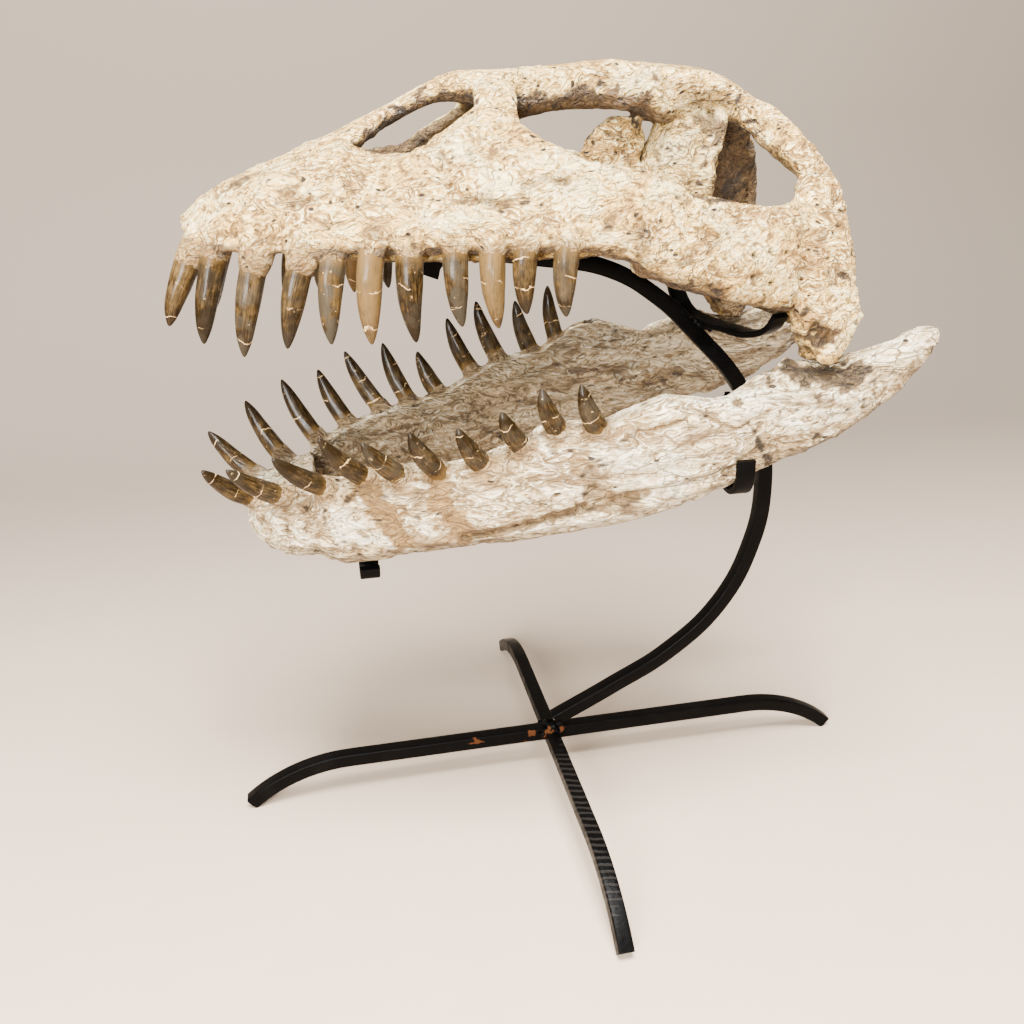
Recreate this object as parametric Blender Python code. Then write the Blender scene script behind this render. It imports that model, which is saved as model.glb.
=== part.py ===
"""Plesiosaur skull with open jaws, mounted on a welded iron stand.

Frame while modelling: X runs along the skull's midline with the snout toward -X, the animal's left
side is -Y, Z is up, and the origin is on the floor under the crossing of the stand's bars.
All sizes are in millimetres and are turned into metres when a mesh is made.  At the end the whole
object is moved so that the middle of its bounding box stands on the world origin.
"""
import math

import bmesh
import bpy
from mathutils import Vector

MM = 0.001

# ---- driving dimensions -------------------------------------------------------------------------
GAP = 0.3                    # clearance between touching pieces
BAR = 9.5                    # side of the square iron bar
BAR_CHAMFER = 0.9
FOOT_MIDDLE = 2.5            # height of a bar's middle at its foot, low enough to grind a flat
STRAP_WIDTH = 11.0           # flat iron of the cradle and hooks
STRAP_THICK = 3.5

LEG_TOP = 33.0               # top of the crossing bars above the floor
LEG_BEND_RADIUS = 105.0
LEG_REACH = {"left": 212.0, "right": 220.0, "front": 176.0, "back": 158.0}

SNOUT_TIP_X = -206.0
ORBIT_FRONT_X = -120.5       # the snout ends here, just before the orbits
ORBIT_BACK_X = -48.0         # the midline bar meets the skull table here
TABLE_BACK_X = 100.0         # back end of the parietal crest
CHEEK_BACK_X = 112.0
TOOTH_LINE_Z = 380.0         # lower margin of the upper jaw
PALATE_LOW_Z = 372.6         # underside of the palate, just above the mast

CHIN_BACK_X = -150.0         # the two rami part behind the chin
JAW_HINGE_X = 115.0          # the ramus ends and the articular bone begins

# Upper teeth, front to back: place along the jaw, lean of the tip toward the back, length down.
UPPER_TEETH = (
    (-197, -19, 40), (-186, -13, 48), (-166, -13, 53), (-143, -14, 48), (-129, -6, 46),
    (-111, -4, 46), (-93, 0, 45), (-71, 1, 37), (-53, 1, 38), (-37, -1, 31), (-16, -2, 33),
)
# Lower teeth of each side: place along the jaw, lean of the tip toward the back, height.
LOWER_TEETH = {
    "left": (
        (-183, -27, 25), (-165, -31, 24), (-142, -29, 24), (-119, -27, 30), (-101, -23, 24),
        (-82, -17, 26), (-58, -16, 24), (-37, -14, 21), (-18, -12, 25), (4, -13, 26),
    ),
    "right": (
        (-183, -28, 25), (-166, -22, 34), (-144, -21, 37), (-124, -18, 34), (-101, -23, 38),
        (-83, -16, 38), (-62, -14, 27), (-38, -17, 36), (-20, -15, 38), (5, -13, 36), (23, -8, 38),
    ),
}
SNOUT_TEETH = 5              # pairs of upper teeth that stand in the snout
CHIN_TEETH = 2               # pairs of lower teeth that stand in the chin
UPPER_TOOTH_RADIUS = 6.9
LOWER_TOOTH_RADIUS = 6.0
TOOTH_SIDES = 6
BONE_SIDES = 10
TOOTH_ROOT = 7.0             # how deep a tooth reaches into its bone
LOWER_SOCKET_DEPTH = 1.0     # the lower teeth stand this far below the edge of the jaw

# Half-width of the two tooth rows along the jaws.
UPPER_ROW = ((-206, 14), (-186, 32), (-166, 44), (-143, 52), (-111, 61), (-71, 71), (-37, 77), (0, 80))
LOWER_ROW = ((-188, 12), (-165, 31), (-142, 40), (-101, 57), (-58, 68), (-18, 75), (30, 80))

MATERIALS = {
    "skull_bone": ((0.72, 0.60, 0.43), 0.75, 0.0),
    "jaw_bone": ((0.80, 0.75, 0.66), 0.80, 0.0),
    "iron": ((0.012, 0.012, 0.013), 0.42, 0.6),
}


# ---- general tools ------------------------------------------------------------------------------
def clear_scene():
    for item in list(bpy.data.objects):
        bpy.data.objects.remove(item, do_unlink=True)


def make_material(name):
    colour, roughness, metallic = MATERIALS[name]
    material = bpy.data.materials.new(name)
    material.use_nodes = True
    shader = material.node_tree.nodes["Principled BSDF"]
    shader.inputs["Base Color"].default_value = (*colour, 1.0)
    shader.inputs["Roughness"].default_value = roughness
    shader.inputs["Metallic"].default_value = metallic
    return material


def smooth(stations, x):
    """Value of a smooth curve through (x, value...) stations: one number, or a list of them."""
    stations = sorted(stations)
    xs = [row[0] for row in stations]
    x = min(max(x, xs[0]), xs[-1])
    last = len(xs) - 2
    k = max(i for i in range(last + 1) if xs[i] <= x)

    def slope(i, column):
        low, high = max(i - 1, 0), min(i + 1, last + 1)
        return (stations[high][column] - stations[low][column]) / (xs[high] - xs[low])

    span = xs[k + 1] - xs[k]
    t = (x - xs[k]) / span
    values = []
    for column in range(1, len(stations[0])):
        start, end = stations[k][column], stations[k + 1][column]
        values.append(
            (2 * t**3 - 3 * t**2 + 1) * start
            + (t**3 - 2 * t**2 + t) * span * slope(k, column)
            + (3 * t**2 - 2 * t**3) * end
            + (t**3 - t**2) * span * slope(k + 1, column)
        )
    return values[0] if len(values) == 1 else values


def spread(start, end, count):
    return [start + (end - start) * i / (count - 1) for i in range(count)]


def soft_power(value, exponent):
    return math.copysign(abs(value) ** exponent, value)


def section(centre, major, minor, bulge=0.0, sides=BONE_SIDES, squareness=0.75):
    """Closed ring around centre: a rounded slab whose half-axes are the vectors major and minor."""
    centre, major, minor = Vector(centre), Vector(major), Vector(minor)
    ring = []
    for i in range(sides):
        angle = 2 * math.pi * (i + 0.5) / sides
        along = soft_power(math.cos(angle), squareness)
        across = soft_power(math.sin(angle), squareness)
        bow = minor.normalized() * bulge * (1 - along * along)
        ring.append(centre + major * along + minor * across + bow)
    return ring


def loft(name, rings, material):
    """One closed solid of triangles through the rings, with flat ends."""
    mesh = bpy.data.meshes.new(name)
    shape = bmesh.new()
    loops = [[shape.verts.new(Vector(p) * MM) for p in ring] for ring in rings]
    count = len(loops[0])
    for front, back in zip(loops, loops[1:]):
        for i in range(count):
            j = (i + 1) % count
            shape.faces.new((front[i], front[j], back[j], back[i]))
    shape.faces.new(loops[0])
    shape.faces.new(loops[-1])
    bmesh.ops.recalc_face_normals(shape, faces=shape.faces)
    bmesh.ops.triangulate(shape, faces=shape.faces)
    shape.to_mesh(mesh)
    shape.free()
    mesh.materials.append(material)
    item = bpy.data.objects.new(name, mesh)
    PARTS.objects.link(item)
    return item


def settle(item):
    """Replace the object's mesh by its evaluated shape, so that the next step reads it."""
    depsgraph = bpy.context.evaluated_depsgraph_get()
    mesh = bpy.data.meshes.new_from_object(item.evaluated_get(depsgraph))
    item.modifiers.clear()
    item.data = mesh


def combine(item, other, operation):
    modifier = item.modifiers.new(operation.lower(), "BOOLEAN")
    modifier.operation = operation
    modifier.object = other
    modifier.solver = "EXACT"
    settle(item)


def as_tool(item):
    """Keep an object only as a cutter or as stock for a union."""
    for collection in item.users_collection:
        collection.objects.unlink(item)
    TOOLS.objects.link(item)
    item.hide_render = True
    item.display_type = "WIRE"
    return item


def swollen(item, amount=GAP):
    """A copy of a piece, grown along its normals by the clearance."""
    mesh = item.data.copy()
    normals = [vertex.normal.copy() for vertex in mesh.vertices]
    for vertex, normal in zip(mesh.vertices, normals):
        vertex.co += normal * amount * MM
    copy = bpy.data.objects.new(item.name + "_room", mesh)
    TOOLS.objects.link(copy)
    copy.hide_render = True
    copy.display_type = "WIRE"
    return copy


def make_room(item, neighbours):
    """Cut a piece back so that it clears each neighbour by the gap."""
    for neighbour in neighbours:
        room = swollen(neighbour)
        combine(item, room, "DIFFERENCE")
        bpy.data.objects.remove(room, do_unlink=True)


def cut_box(name, low, high):
    size = [h - l for l, h in zip(low, high)]
    mesh = bpy.data.meshes.new(name)
    shape = bmesh.new()
    bmesh.ops.create_cube(shape, size=1.0)
    for vertex in shape.verts:
        vertex.co = Vector([(l + s * (c + 0.5)) * MM for l, s, c in zip(low, size, vertex.co)])
    shape.to_mesh(mesh)
    shape.free()
    item = bpy.data.objects.new(name, mesh)
    PARTS.objects.link(item)
    return as_tool(item)


# ---- teeth --------------------------------------------------------------------------------------
def tooth(base, tip, radius, bow):
    """A curved cone from inside the bone to the tip; bow is the bulge of its outer curve."""
    base, tip, bow = Vector(base), Vector(tip), Vector(bow)
    root = base - (tip - base).normalized() * TOOTH_ROOT
    rings = []
    for t, girth in ((0.0, 0.95), (0.3, 1.0), (0.62, 0.78), (0.86, 0.42), (1.0, 0.09)):
        centre = root.lerp(tip, t) + bow * 4 * t * (1 - t)
        heading = (tip - root).normalized() + bow * (4 - 8 * t) / (tip - root).length
        side = heading.cross(Vector((0, 1, 0))).normalized()
        other = side.cross(heading).normalized()
        rings.append(
            [
                centre + (side * math.cos(a) + other * math.sin(a)) * radius * girth
                for a in (2 * math.pi * i / TOOTH_SIDES for i in range(TOOTH_SIDES))
            ]
        )
    return loft("tooth", rings, SKULL)


def join_to(item, pieces):
    """Join pieces to the one that they grow from or are welded to."""
    for piece in pieces:
        as_tool(piece)
        combine(item, piece, "UNION")
        bpy.data.objects.remove(piece, do_unlink=True)


def upper_tooth(row, side):
    x, lean, length = row
    half_width = smooth(UPPER_ROW, x)
    splay = 4.0 + 4.0 * (-x / 200.0)
    radius = UPPER_TOOTH_RADIUS * (0.75 + 0.25 * min(length, 48) / 48)
    base = (x, side * half_width, TOOTH_LINE_Z + 1)
    tip = (x + lean, side * (half_width + splay), TOOTH_LINE_Z + 1 - length)
    return tooth(base, tip, radius, (-2.0, side * 1.5, 0))


def lower_tooth(row, side):
    x, lean, height = row
    half_width = smooth(LOWER_ROW, x)
    splay = 5.0 + 12.0 * max(0.0, -x / 185.0)
    base_z = smooth(RAMUS, x)[1] - LOWER_SOCKET_DEPTH
    base = (x, side * half_width, base_z)
    tip = (x + lean, side * (half_width + splay), base_z + height)
    return tooth(base, tip, LOWER_TOOTH_RADIUS, (-2.0, side * 2.0, -1.5))


# ---- cranium ------------------------------------------------------------------------------------
# Snout sections: x, half-width and height of the margin, height of the ridge line, roundness of
# the arch.
SNOUT = (
    (-206, 9, 387, 391, 0.95), (-198, 28, 382, 398, 0.95), (-187, 38, 380, 405.5, 0.95),
    (-166, 49, 380, 415.5, 0.95), (-143, 58, 380, 423.5, 1.0), (-120, 64, 380, 433.5, 1.1),
)
# Cheek sections: x, half-width and height of the lower edge, half-width and height of the upper
# edge, thickness of the wall.
CHEEK = (
    (-121, 56, 380, 15, 427, 16), (-112, 59, 380, 18, 424, 15), (-103, 62, 380, 22, 419, 14),
    (-90, 66, 380, 26, 421, 14), (-76, 70, 380, 29, 425, 14), (-66, 73, 380, 27, 438, 14),
    (-52, 76, 380, 24, 443, 14),
    (-32, 78, 380, 31, 440, 14), (-23, 79, 380, 42, 431, 14), (-12, 80, 380, 54, 423, 14),
    (2, 81, 379, 63, 416, 14), (18, 81, 372, 67, 418, 14), (32, 81, 364, 70, 414, 14),
    (46, 80, 360, 72, 405, 14), (62, 79, 353, 72, 402, 13), (80, 77, 348, 71, 399, 13),
    (95, 75, 345, 69, 397, 13), (112, 72, 341, 65, 401, 13),
)
# Midline bar between the orbits: x, underside, top, half-width.
FRONTAL = (
    (-121, 418, 433, 18), (-112, 424, 437, 13), (-104, 431, 441, 10), (-90, 438, 447.5, 8),
    (-72, 446, 457, 8), (-60, 447, 461, 13), (-48, 444, 462, 20),
)
# Parietal crest and skull table: x, underside, top, half-width.
CREST = (
    (-48, 444, 462, 20), (-38, 438, 462.5, 20), (-28, 437, 463, 14), (-8, 442, 464.5, 11),
    (22, 443, 467, 10), (42, 441, 466, 14), (52, 434, 465, 17), (66, 438, 464, 18),
    (84, 440, 461.5, 18), (100, 438, 455, 16),
)
# Squamosal arch, from the table down to the quadrate: x, y and z of its outer edge, x and z of its
# inner edge, thickness.
ARCH = (
    (100, 4.6, 453, 94, 437, 12.6), (114, 20, 444, 103, 431, 14), (127, 35, 428, 112, 420, 14),
    (139, 47, 411, 122, 409, 13), (146, 56, 391, 111, 395, 13), (150, 63, 368, 108, 372, 14),
    (151, 67, 352, 111, 350, 16), (159, 68, 337, 117, 336, 18),
)
# Quadrate: x, z of its back edge, x, z of its front edge, half-width from the midline, thickness.
QUADRATE = (
    (158, 338, 116, 337, 67, 19), (157, 329, 118, 328, 66, 20), (151, 320, 124, 321, 64, 23),
    (146, 312, 129, 312, 63, 25),
)
# Braincase, from the palate up: z, x of its middle, half-length, half-width.
BRAINCASE = (
    (378, 60, 26, 21), (393, 62, 25, 25), (408, 66, 23, 23), (424, 72, 21, 17), (442, 76, 20, 13),
)
# Paroccipital bars: inner end, outer end, half-height at each; the left one is worn down to a low
# bar, the right one still stands as a tall plate.
PAROCCIPITAL = {
    "left": ((84, -8, 382), (130, -52, 372), 8, 9),
    "right": ((84, 8, 418), (130, 52, 390), 14, 13),
}
# Palate: x, half-width, height of its upper side.
PALATE = (
    (-121, 48, 381), (-70, 62, 381), (-30, 68, 381), (4, 68, 381), (20, 44, 382), (36, 28, 382),
    (60, 25, 383), (88, 22, 383),
)
SPHENOID_OUTLINE = (
    (8, 382), (9, 404), (10, 420), (20, 433), (28, 438.5), (44, 438), (46.5, 428), (43, 404), (38, 382),
)


def make_snout():
    rings = []
    for x in spread(SNOUT_TIP_X, ORBIT_FRONT_X - GAP / 2, 9):
        half_width, margin, ridge, roundness = smooth(SNOUT, x)
        ring = []
        for i in range(11):
            angle = math.pi * i / 10
            y = -half_width * soft_power(math.cos(angle), 0.8)
            z = margin + (ridge - margin) * math.sin(angle) ** roundness
            ring.append((x, y, z))
        for share in (0.72, 0.3, -0.3, -0.72):
            vault = 5.0 * (1 - share * share)
            ring.append((x, share * half_width, margin - 3.0 + vault))
        rings.append(ring)
    return loft("snout", rings, SKULL)


def make_cheek(name, side):
    rings = []
    for x in spread(ORBIT_FRONT_X + GAP / 2, CHEEK_BACK_X, 15):
        low_y, low_z, high_y, high_z, thick = smooth(CHEEK, x)
        low, high = Vector((x, side * low_y, low_z)), Vector((x, side * high_y, high_z))
        half = (high - low) / 2
        outward = Vector((0, half.z, -half.y)) * side
        slab = outward.normalized() * thick / 2
        rings.append(section((low + high) / 2, half, slab, bulge=4.0, squareness=0.6))
    return loft(name, rings, SKULL)


def make_midline_bar(name, stations, start, end, count, squareness):
    rings = []
    for x in spread(start, end, count):
        low, high, half_width = smooth(stations, x)
        rings.append(
            section((x, 0, (low + high) / 2), (0, half_width, 0), (0, 0, (high - low) / 2),
                    squareness=squareness)
        )
    return loft(name, rings, SKULL)


def make_postorbital(name, side):
    rings = []
    stations = ((0, -41, 12, 453, 12), (1, -42, 24, 446, 11), (2, -44, 38, 436, 12))
    for step in spread(0, 2, 5):
        x, y, z, half_length = smooth(stations, step)
        rings.append(section((x, side * y, z), (half_length, 0, 0), (0, side * 3.6, 6.0), squareness=0.8))
    return loft(name, rings, SKULL)


def make_squamosal(name, side):
    rows = [(i, *row) for i, row in enumerate(ARCH)]
    rings = []
    for step in spread(0, len(ARCH) - 1, 13):
        out_x, y, out_z, in_x, in_z, thick = smooth(rows, step)
        outer = Vector((out_x, side * y, out_z))
        inner = Vector((in_x, side * (y - 1.5), in_z))
        ahead = smooth(rows, min(step + 0.1, len(ARCH) - 1))
        behind = smooth(rows, max(step - 0.1, 0))
        heading = Vector(
            (ahead[0] + ahead[3] - behind[0] - behind[3], 2 * side * (ahead[1] - behind[1]),
             ahead[2] + ahead[4] - behind[2] - behind[4])
        )
        across = heading.cross(outer - inner).normalized()
        rings.append(section((outer + inner) / 2, (outer - inner) / 2, across * thick / 2))
    return loft(name, rings, SKULL)


def make_quadrate(name, side):
    rows = [(i, *row) for i, row in enumerate(QUADRATE)]
    rings = []
    for step in spread(0, len(QUADRATE) - 1, 5):
        back_x, back_z, front_x, front_z, y, thick = smooth(rows, step)
        centre = ((back_x + front_x) / 2, side * y, (back_z + front_z) / 2)
        rings.append(
            section(centre, ((back_x - front_x) / 2, 0, (back_z - front_z) / 2), (0, thick / 2, 0),
                    squareness=0.8)
        )
    return loft(name, rings, SKULL)


def make_braincase():
    rings = [
        section((x, 0, z), (half_length, 0, 0), (0, half_width, 0), squareness=0.7)
        for z, x, half_length, half_width in BRAINCASE
    ]
    return loft("braincase", rings, SKULL)


def make_palate():
    rings = []
    for x in spread(PALATE[0][0] + GAP, PALATE[-1][0], 10):
        half_width, top = smooth(PALATE, x)
        middle, half_height = (PALATE_LOW_Z + top) / 2, (top - PALATE_LOW_Z) / 2
        rings.append(section((x, 0, middle), (0, half_width, 0), (0, 0, half_height), squareness=0.45))
    return loft("palate", rings, SKULL)


def make_strut(name, ends, major, minor):
    """A short bone between two points, given the half-axes of its section at each end."""
    rings = [
        section(Vector(ends[0]).lerp(Vector(ends[1]), t), Vector(major[0]).lerp(Vector(major[1]), t),
                Vector(minor[0]).lerp(Vector(minor[1]), t))
        for t in (0.0, 0.35, 0.7, 1.0)
    ]
    return loft(name, rings, SKULL)


def make_sphenoid():
    half = 3.0
    rings = [[(x, y, z) for x, z in SPHENOID_OUTLINE] for y in (-half, half)]
    return loft("sphenoid_plate", rings, SKULL)


def make_cranium():
    snout = make_snout()
    crest = make_midline_bar("parietal_crest", CREST, ORBIT_BACK_X + GAP, TABLE_BACK_X, 15, 0.7)
    frontal = make_midline_bar("frontal_bar", FRONTAL, ORBIT_FRONT_X + GAP / 2, ORBIT_BACK_X, 8, 0.7)
    palate = make_palate()
    braincase = make_braincase()
    sphenoid = make_sphenoid()
    make_room(braincase, [palate, crest])
    make_room(sphenoid, [palate, braincase, crest])
    arches, cheeks = [], []
    for name, side in (("left", -1), ("right", 1)):
        cheek = make_cheek("cheek_" + name, side)
        postorbital = make_postorbital("postorbital_" + name, side)
        squamosal = make_squamosal("squamosal_" + name, side)
        quadrate = make_quadrate("quadrate_" + name, side)
        inner_end, outer_end, inner_half, outer_half = PAROCCIPITAL[name]
        occipital = make_strut(
            "paroccipital_" + name, (inner_end, outer_end), ((6, 0, inner_half), (3, 0, outer_half)),
            ((5, -side * 3, 2), (6, -side * 3, 3)))
        pterygoid = make_strut(
            "pterygoid_" + name, ((52, side * 30, 374), (121, side * 54, 341)),
            ((0, 2, 8), (0, 2, 9)), ((0, 5, 0), (0, 5, 0)))
        flange = make_strut(
            "ectopterygoid_" + name, ((24, side * 65, 373), (62, side * 67, 359)),
            ((0, 0, 8), (0, 0, 7)), ((0, 9, 0), (0, 8, 0)))
        make_room(cheek, [frontal])
        make_room(postorbital, [crest, frontal, cheek])
        make_room(squamosal, [crest, cheek, braincase] + arches)
        make_room(quadrate, [squamosal, cheek])
        make_room(palate, [cheek])
        make_room(flange, [cheek, palate])
        make_room(pterygoid, [palate, braincase, quadrate, squamosal, cheek])
        make_room(occipital, [palate, cheek, braincase, squamosal, crest, pterygoid])
        arches.append(squamosal)
        cheeks.append((cheek, side))
    make_room(palate, [snout])
    for cheek, side in cheeks:
        join_to(cheek, [upper_tooth(row, side) for row in UPPER_TEETH[SNOUT_TEETH:]])
    for side in (-1, 1):
        join_to(snout, [upper_tooth(row, side) for row in UPPER_TEETH[:SNOUT_TEETH]])


# ---- lower jaw ----------------------------------------------------------------------------------
# Ramus: x, half-width of its middle, height of the upper edge, of the lower edge, half-thickness.
RAMUS = (
    (-188, 13, 235, 217, 6), (-182, 18, 238, 208, 12), (-165, 26, 243, 199, 14),
    (-150, 33, 248, 198.5, 13), (-119, 46, 257, 206, 12.5), (-82, 59, 264, 213.5, 12),
    (-58, 64, 268, 217, 12), (-37, 68, 279, 219.5, 12), (-18, 71, 287, 222, 12),
    (6, 73, 287.5, 225.5, 11.5), (25, 75, 295, 229, 11), (38, 76, 302, 232, 10),
    (53, 76, 301, 235, 10), (71, 74, 296, 240, 10), (87, 72, 298, 245, 10), (97, 70, 306, 248, 10),
    (106, 68, 313.5, 251, 10), (115, 67, 316, 254, 10.5),
)
# The right ramus carries one more tooth on a raised ridge: x of its middle, half-length, height.
RIGHT_RIDGE = (44, 42, 7.0)
ARTICULAR = (
    (115, 67, 316, 254, 10.5), (123, 66, 313, 256, 13), (131, 65, 310.5, 258.5, 14.5),
    (144, 64, 310, 263, 15), (156, 63, 312.5, 268, 12.5), (173, 62, 316, 278, 10),
    (188, 61, 321, 289, 9), (199, 60, 326, 298, 8), (211, 59, 326.5, 311, 6),
)


def ramus_rings(stations, start, end, count, side):
    rings = []
    for x in spread(start, end, count):
        middle, top, low, half_thick = smooth(stations, x)
        if side > 0:
            ridge_x, reach, height = RIGHT_RIDGE
            top += height * max(0.0, 1 - ((x - ridge_x) / reach) ** 2)
        rings.append(
            section((x, side * middle, (top + low) / 2), (0, side * 1.5, (top - low) / 2),
                    (0, side * half_thick, 0), squareness=0.62)
        )
    return rings


def make_chin():
    rings = []
    for x in spread(RAMUS[0][0], CHIN_BACK_X - GAP / 2, 7):
        middle, top, low, half_thick = smooth(RAMUS, x)
        rings.append(
            section((x, 0, (top + low) / 2), (0, middle + half_thick, 0), (0, 0, (top - low) / 2),
                    sides=14, squareness=0.7)
        )
    chin = loft("jaw_chin", rings, JAW)
    teeth = [lower_tooth(row, side) for key, side in SIDES for row in LOWER_TEETH[key][:CHIN_TEETH]]
    join_to(chin, teeth)


def make_jaw():
    make_chin()
    for key, side in SIDES:
        ramus = loft(
            "jaw_ramus_" + key,
            ramus_rings(RAMUS, CHIN_BACK_X + GAP / 2, JAW_HINGE_X - GAP / 2, 16, side), JAW)
        join_to(ramus, [lower_tooth(row, side) for row in LOWER_TEETH[key][CHIN_TEETH:]])
        loft("jaw_articular_" + key,
             ramus_rings(ARTICULAR, JAW_HINGE_X + GAP / 2, ARTICULAR[-1][0], 10, side), JAW)


# ---- stand --------------------------------------------------------------------------------------
# Middle line of the mast in the skull's plane: x, z, from the crossing up and over to the palate.
MAST_ROUTE = (
    (3, 38.6), (46, 61), (86, 84), (122, 119), (142, 165), (146, 205), (138, 247), (118, 283), (90, 313),
    (62, 338), (30, 356), (-8, 363.5), (-66, 367.5), (-73, 364), (-76, 356),
)
CRADLE_ROUTE = (
    (109, -66, 339), (107, -61, 331), (103, -48, 325), (98, -28, 323.5), (91, 0, 323.5),
    (88, 12, 325), (86, 23, 331), (84.5, 30, 340), (83.5, 33.5, 350),
)
HOOK_X = 88.5
HOOK_ROUTE = (
    (-84.5, 262), (-84.5, 248), (-80, 242), (-70, 240.5), (-36, 250), (0, 259),
    (36, 250), (70, 240.5), (80, 242), (84.5, 248), (84.5, 262),
)
STRUT_ROUTE = ((120, 271), (92, 265), (0, 232), (-90, 197), (-108, 190.5), (-121, 186))
# Open hook at the strut's front end, under the chin: its place along the strut, its width, and its
# route as y and z.
CHIN_HOOK_X = -121
CHIN_HOOK_WIDTH = 12.5
CHIN_HOOK_ROUTE = ((4, 197), (4, 180), (2.6, 173.5), (-2, 170.8), (-6.5, 172.3), (-9, 179))


def square_ring(centre, side_way, up_way, width, height, chamfer):
    side_way, up_way = Vector(side_way).normalized(), Vector(up_way).normalized()
    ring = []
    for sx, sy, first in ((1, -1, "x"), (1, 1, "y"), (-1, 1, "x"), (-1, -1, "y")):
        corner_x, corner_y = sx * width / 2, sy * height / 2
        cut_x = (corner_x - sx * chamfer, corner_y)
        cut_y = (corner_x, corner_y - sy * chamfer)
        for a, b in ((cut_x, cut_y) if first == "x" else (cut_y, cut_x)):
            ring.append(Vector(centre) + side_way * a + up_way * b)
    return ring


def leg_rings(direction, reach, start):
    """Rings of a leg that leaves the crossing level and bends down to the floor at its end."""
    middle = LEG_TOP - BAR / 2
    drop = middle - FOOT_MIDDLE
    angle = math.acos(1 - drop / LEG_BEND_RADIUS)
    bend_start = reach - LEG_BEND_RADIUS * math.sin(angle)
    direction = Vector(direction)
    side_way = direction.cross(Vector((0, 0, 1)))
    steps = [(start, 0.0), (bend_start, 0.0)] + [
        (bend_start + LEG_BEND_RADIUS * math.sin(a), LEG_BEND_RADIUS * (1 - math.cos(a)), a)
        for a in spread(0.06, angle, 8)
    ]
    rings = []
    for step in steps:
        turn = step[2] if len(step) == 3 else 0.0
        centre = direction * step[0] + Vector((0, 0, middle - step[1]))
        up_way = direction * math.sin(turn) + Vector((0, 0, math.cos(turn)))
        rings.append(square_ring(centre, side_way, up_way, BAR, BAR, BAR_CHAMFER))
    return rings


def route_rings(points, width, height, chamfer, side_way, count):
    """Rings along a smooth route; side_way gives the direction of the section's width."""
    lengths = [0.0]
    points = [Vector(p) for p in points]
    for a, b in zip(points, points[1:]):
        lengths.append(lengths[-1] + (b - a).length)
    rows = [(d, *p) for d, p in zip(lengths, points)]
    rings = []
    for distance in spread(0.0, lengths[-1], count):
        centre = Vector(smooth(rows, distance))
        ahead = Vector(smooth(rows, min(distance + 0.5, lengths[-1])))
        behind = Vector(smooth(rows, max(distance - 0.5, 0.0)))
        heading = (ahead - behind).normalized()
        up_way = heading.cross(Vector(side_way)).normalized()
        rings.append(square_ring(centre, up_way.cross(heading), up_way, width, height, chamfer))
    return rings


def make_stand():
    floor_cut = cut_box("floor_cut", (-300, -300, -60), (300, 300, 0))
    left = leg_rings((-1, 0, 0), LEG_REACH["left"], 0.0)
    right = leg_rings((1, 0, 0), LEG_REACH["right"], 0.0)
    turned_left = [list(reversed(ring)) for ring in left]
    cross_bar = loft("stand_cross_bar", list(reversed(turned_left))[:-1] + right[1:], IRON)
    combine(cross_bar, floor_cut, "DIFFERENCE")
    start = BAR / 2 + GAP
    for name, direction in (("front", (0, -1, 0)), ("back", (0, 1, 0))):
        leg = loft("stand_leg_" + name, leg_rings(direction, LEG_REACH[name], start), IRON)
        combine(leg, floor_cut, "DIFFERENCE")
    bpy.data.objects.remove(floor_cut, do_unlink=True)

    mast = loft("stand_mast", route_rings([(x, 0, z) for x, z in MAST_ROUTE], BAR, BAR, BAR_CHAMFER,
                                          (0, 1, 0), 26), IRON)
    strut = loft("stand_jaw_strut", route_rings([(x, 0, z) for x, z in STRUT_ROUTE], BAR, STRAP_THICK,
                                                0.5, (0, 1, 0), 11), IRON)
    hooks = loft("stand_jaw_hooks", route_rings([(HOOK_X, y, z) for y, z in HOOK_ROUTE], STRAP_WIDTH,
                                                STRAP_THICK, 0.5, (1, 0, 0), 19), IRON)
    cradle = loft("stand_cradle", route_rings(CRADLE_ROUTE, STRAP_WIDTH, STRAP_THICK, 0.5, (1, 0, 0), 15),
                  IRON)
    chin_hook = loft("chin_hook", route_rings([(CHIN_HOOK_X, y, z) for y, z in CHIN_HOOK_ROUTE],
                                              CHIN_HOOK_WIDTH, STRAP_THICK, 0.5, (1, 0, 0), 11), IRON)
    join_to(strut, [chin_hook])
    make_room(strut, [mast])
    make_room(hooks, [strut])
    make_room(cradle, [mast])


def stand_on_origin():
    """Parent everything to one empty, placed so that the box's middle is over the world origin."""
    points = [v.co for item in PARTS.objects if item.type == "MESH" for v in item.data.vertices]
    low = [min(p[i] for p in points) for i in range(3)]
    high = [max(p[i] for p in points) for i in range(3)]
    root = bpy.data.objects.new("skull_frame", None)
    root.location = (-(low[0] + high[0]) / 2, -(low[1] + high[1]) / 2, -low[2])
    for item in list(PARTS.objects):
        item.parent = root
    PARTS.objects.link(root)


clear_scene()
PARTS = bpy.data.collections.new("plesiosaur_skull")
TOOLS = bpy.data.collections.new("cutters")
bpy.context.scene.collection.children.link(PARTS)
bpy.context.scene.collection.children.link(TOOLS)
SKULL = make_material("skull_bone")
JAW = make_material("jaw_bone")
IRON = make_material("iron")
SIDES = (("left", -1), ("right", 1))

make_cranium()
make_jaw()
make_stand()
stand_on_origin()
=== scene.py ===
"""Looks for a mounted plesiosaur skull: carved fossil bone, enamelled teeth and a painted iron stand.

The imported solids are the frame.  Each bone here is carved from a copy of its own solid, so it keeps
its place; the teeth are turned one by one, and the bars of the stand are swept along their routes.
"""
import math
from collections import namedtuple

import bmesh
import bpy
import numpy as np
from mathutils import Matrix, Vector, noise
from mathutils.bvhtree import BVHTree
from mathutils.kdtree import KDTree


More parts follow.
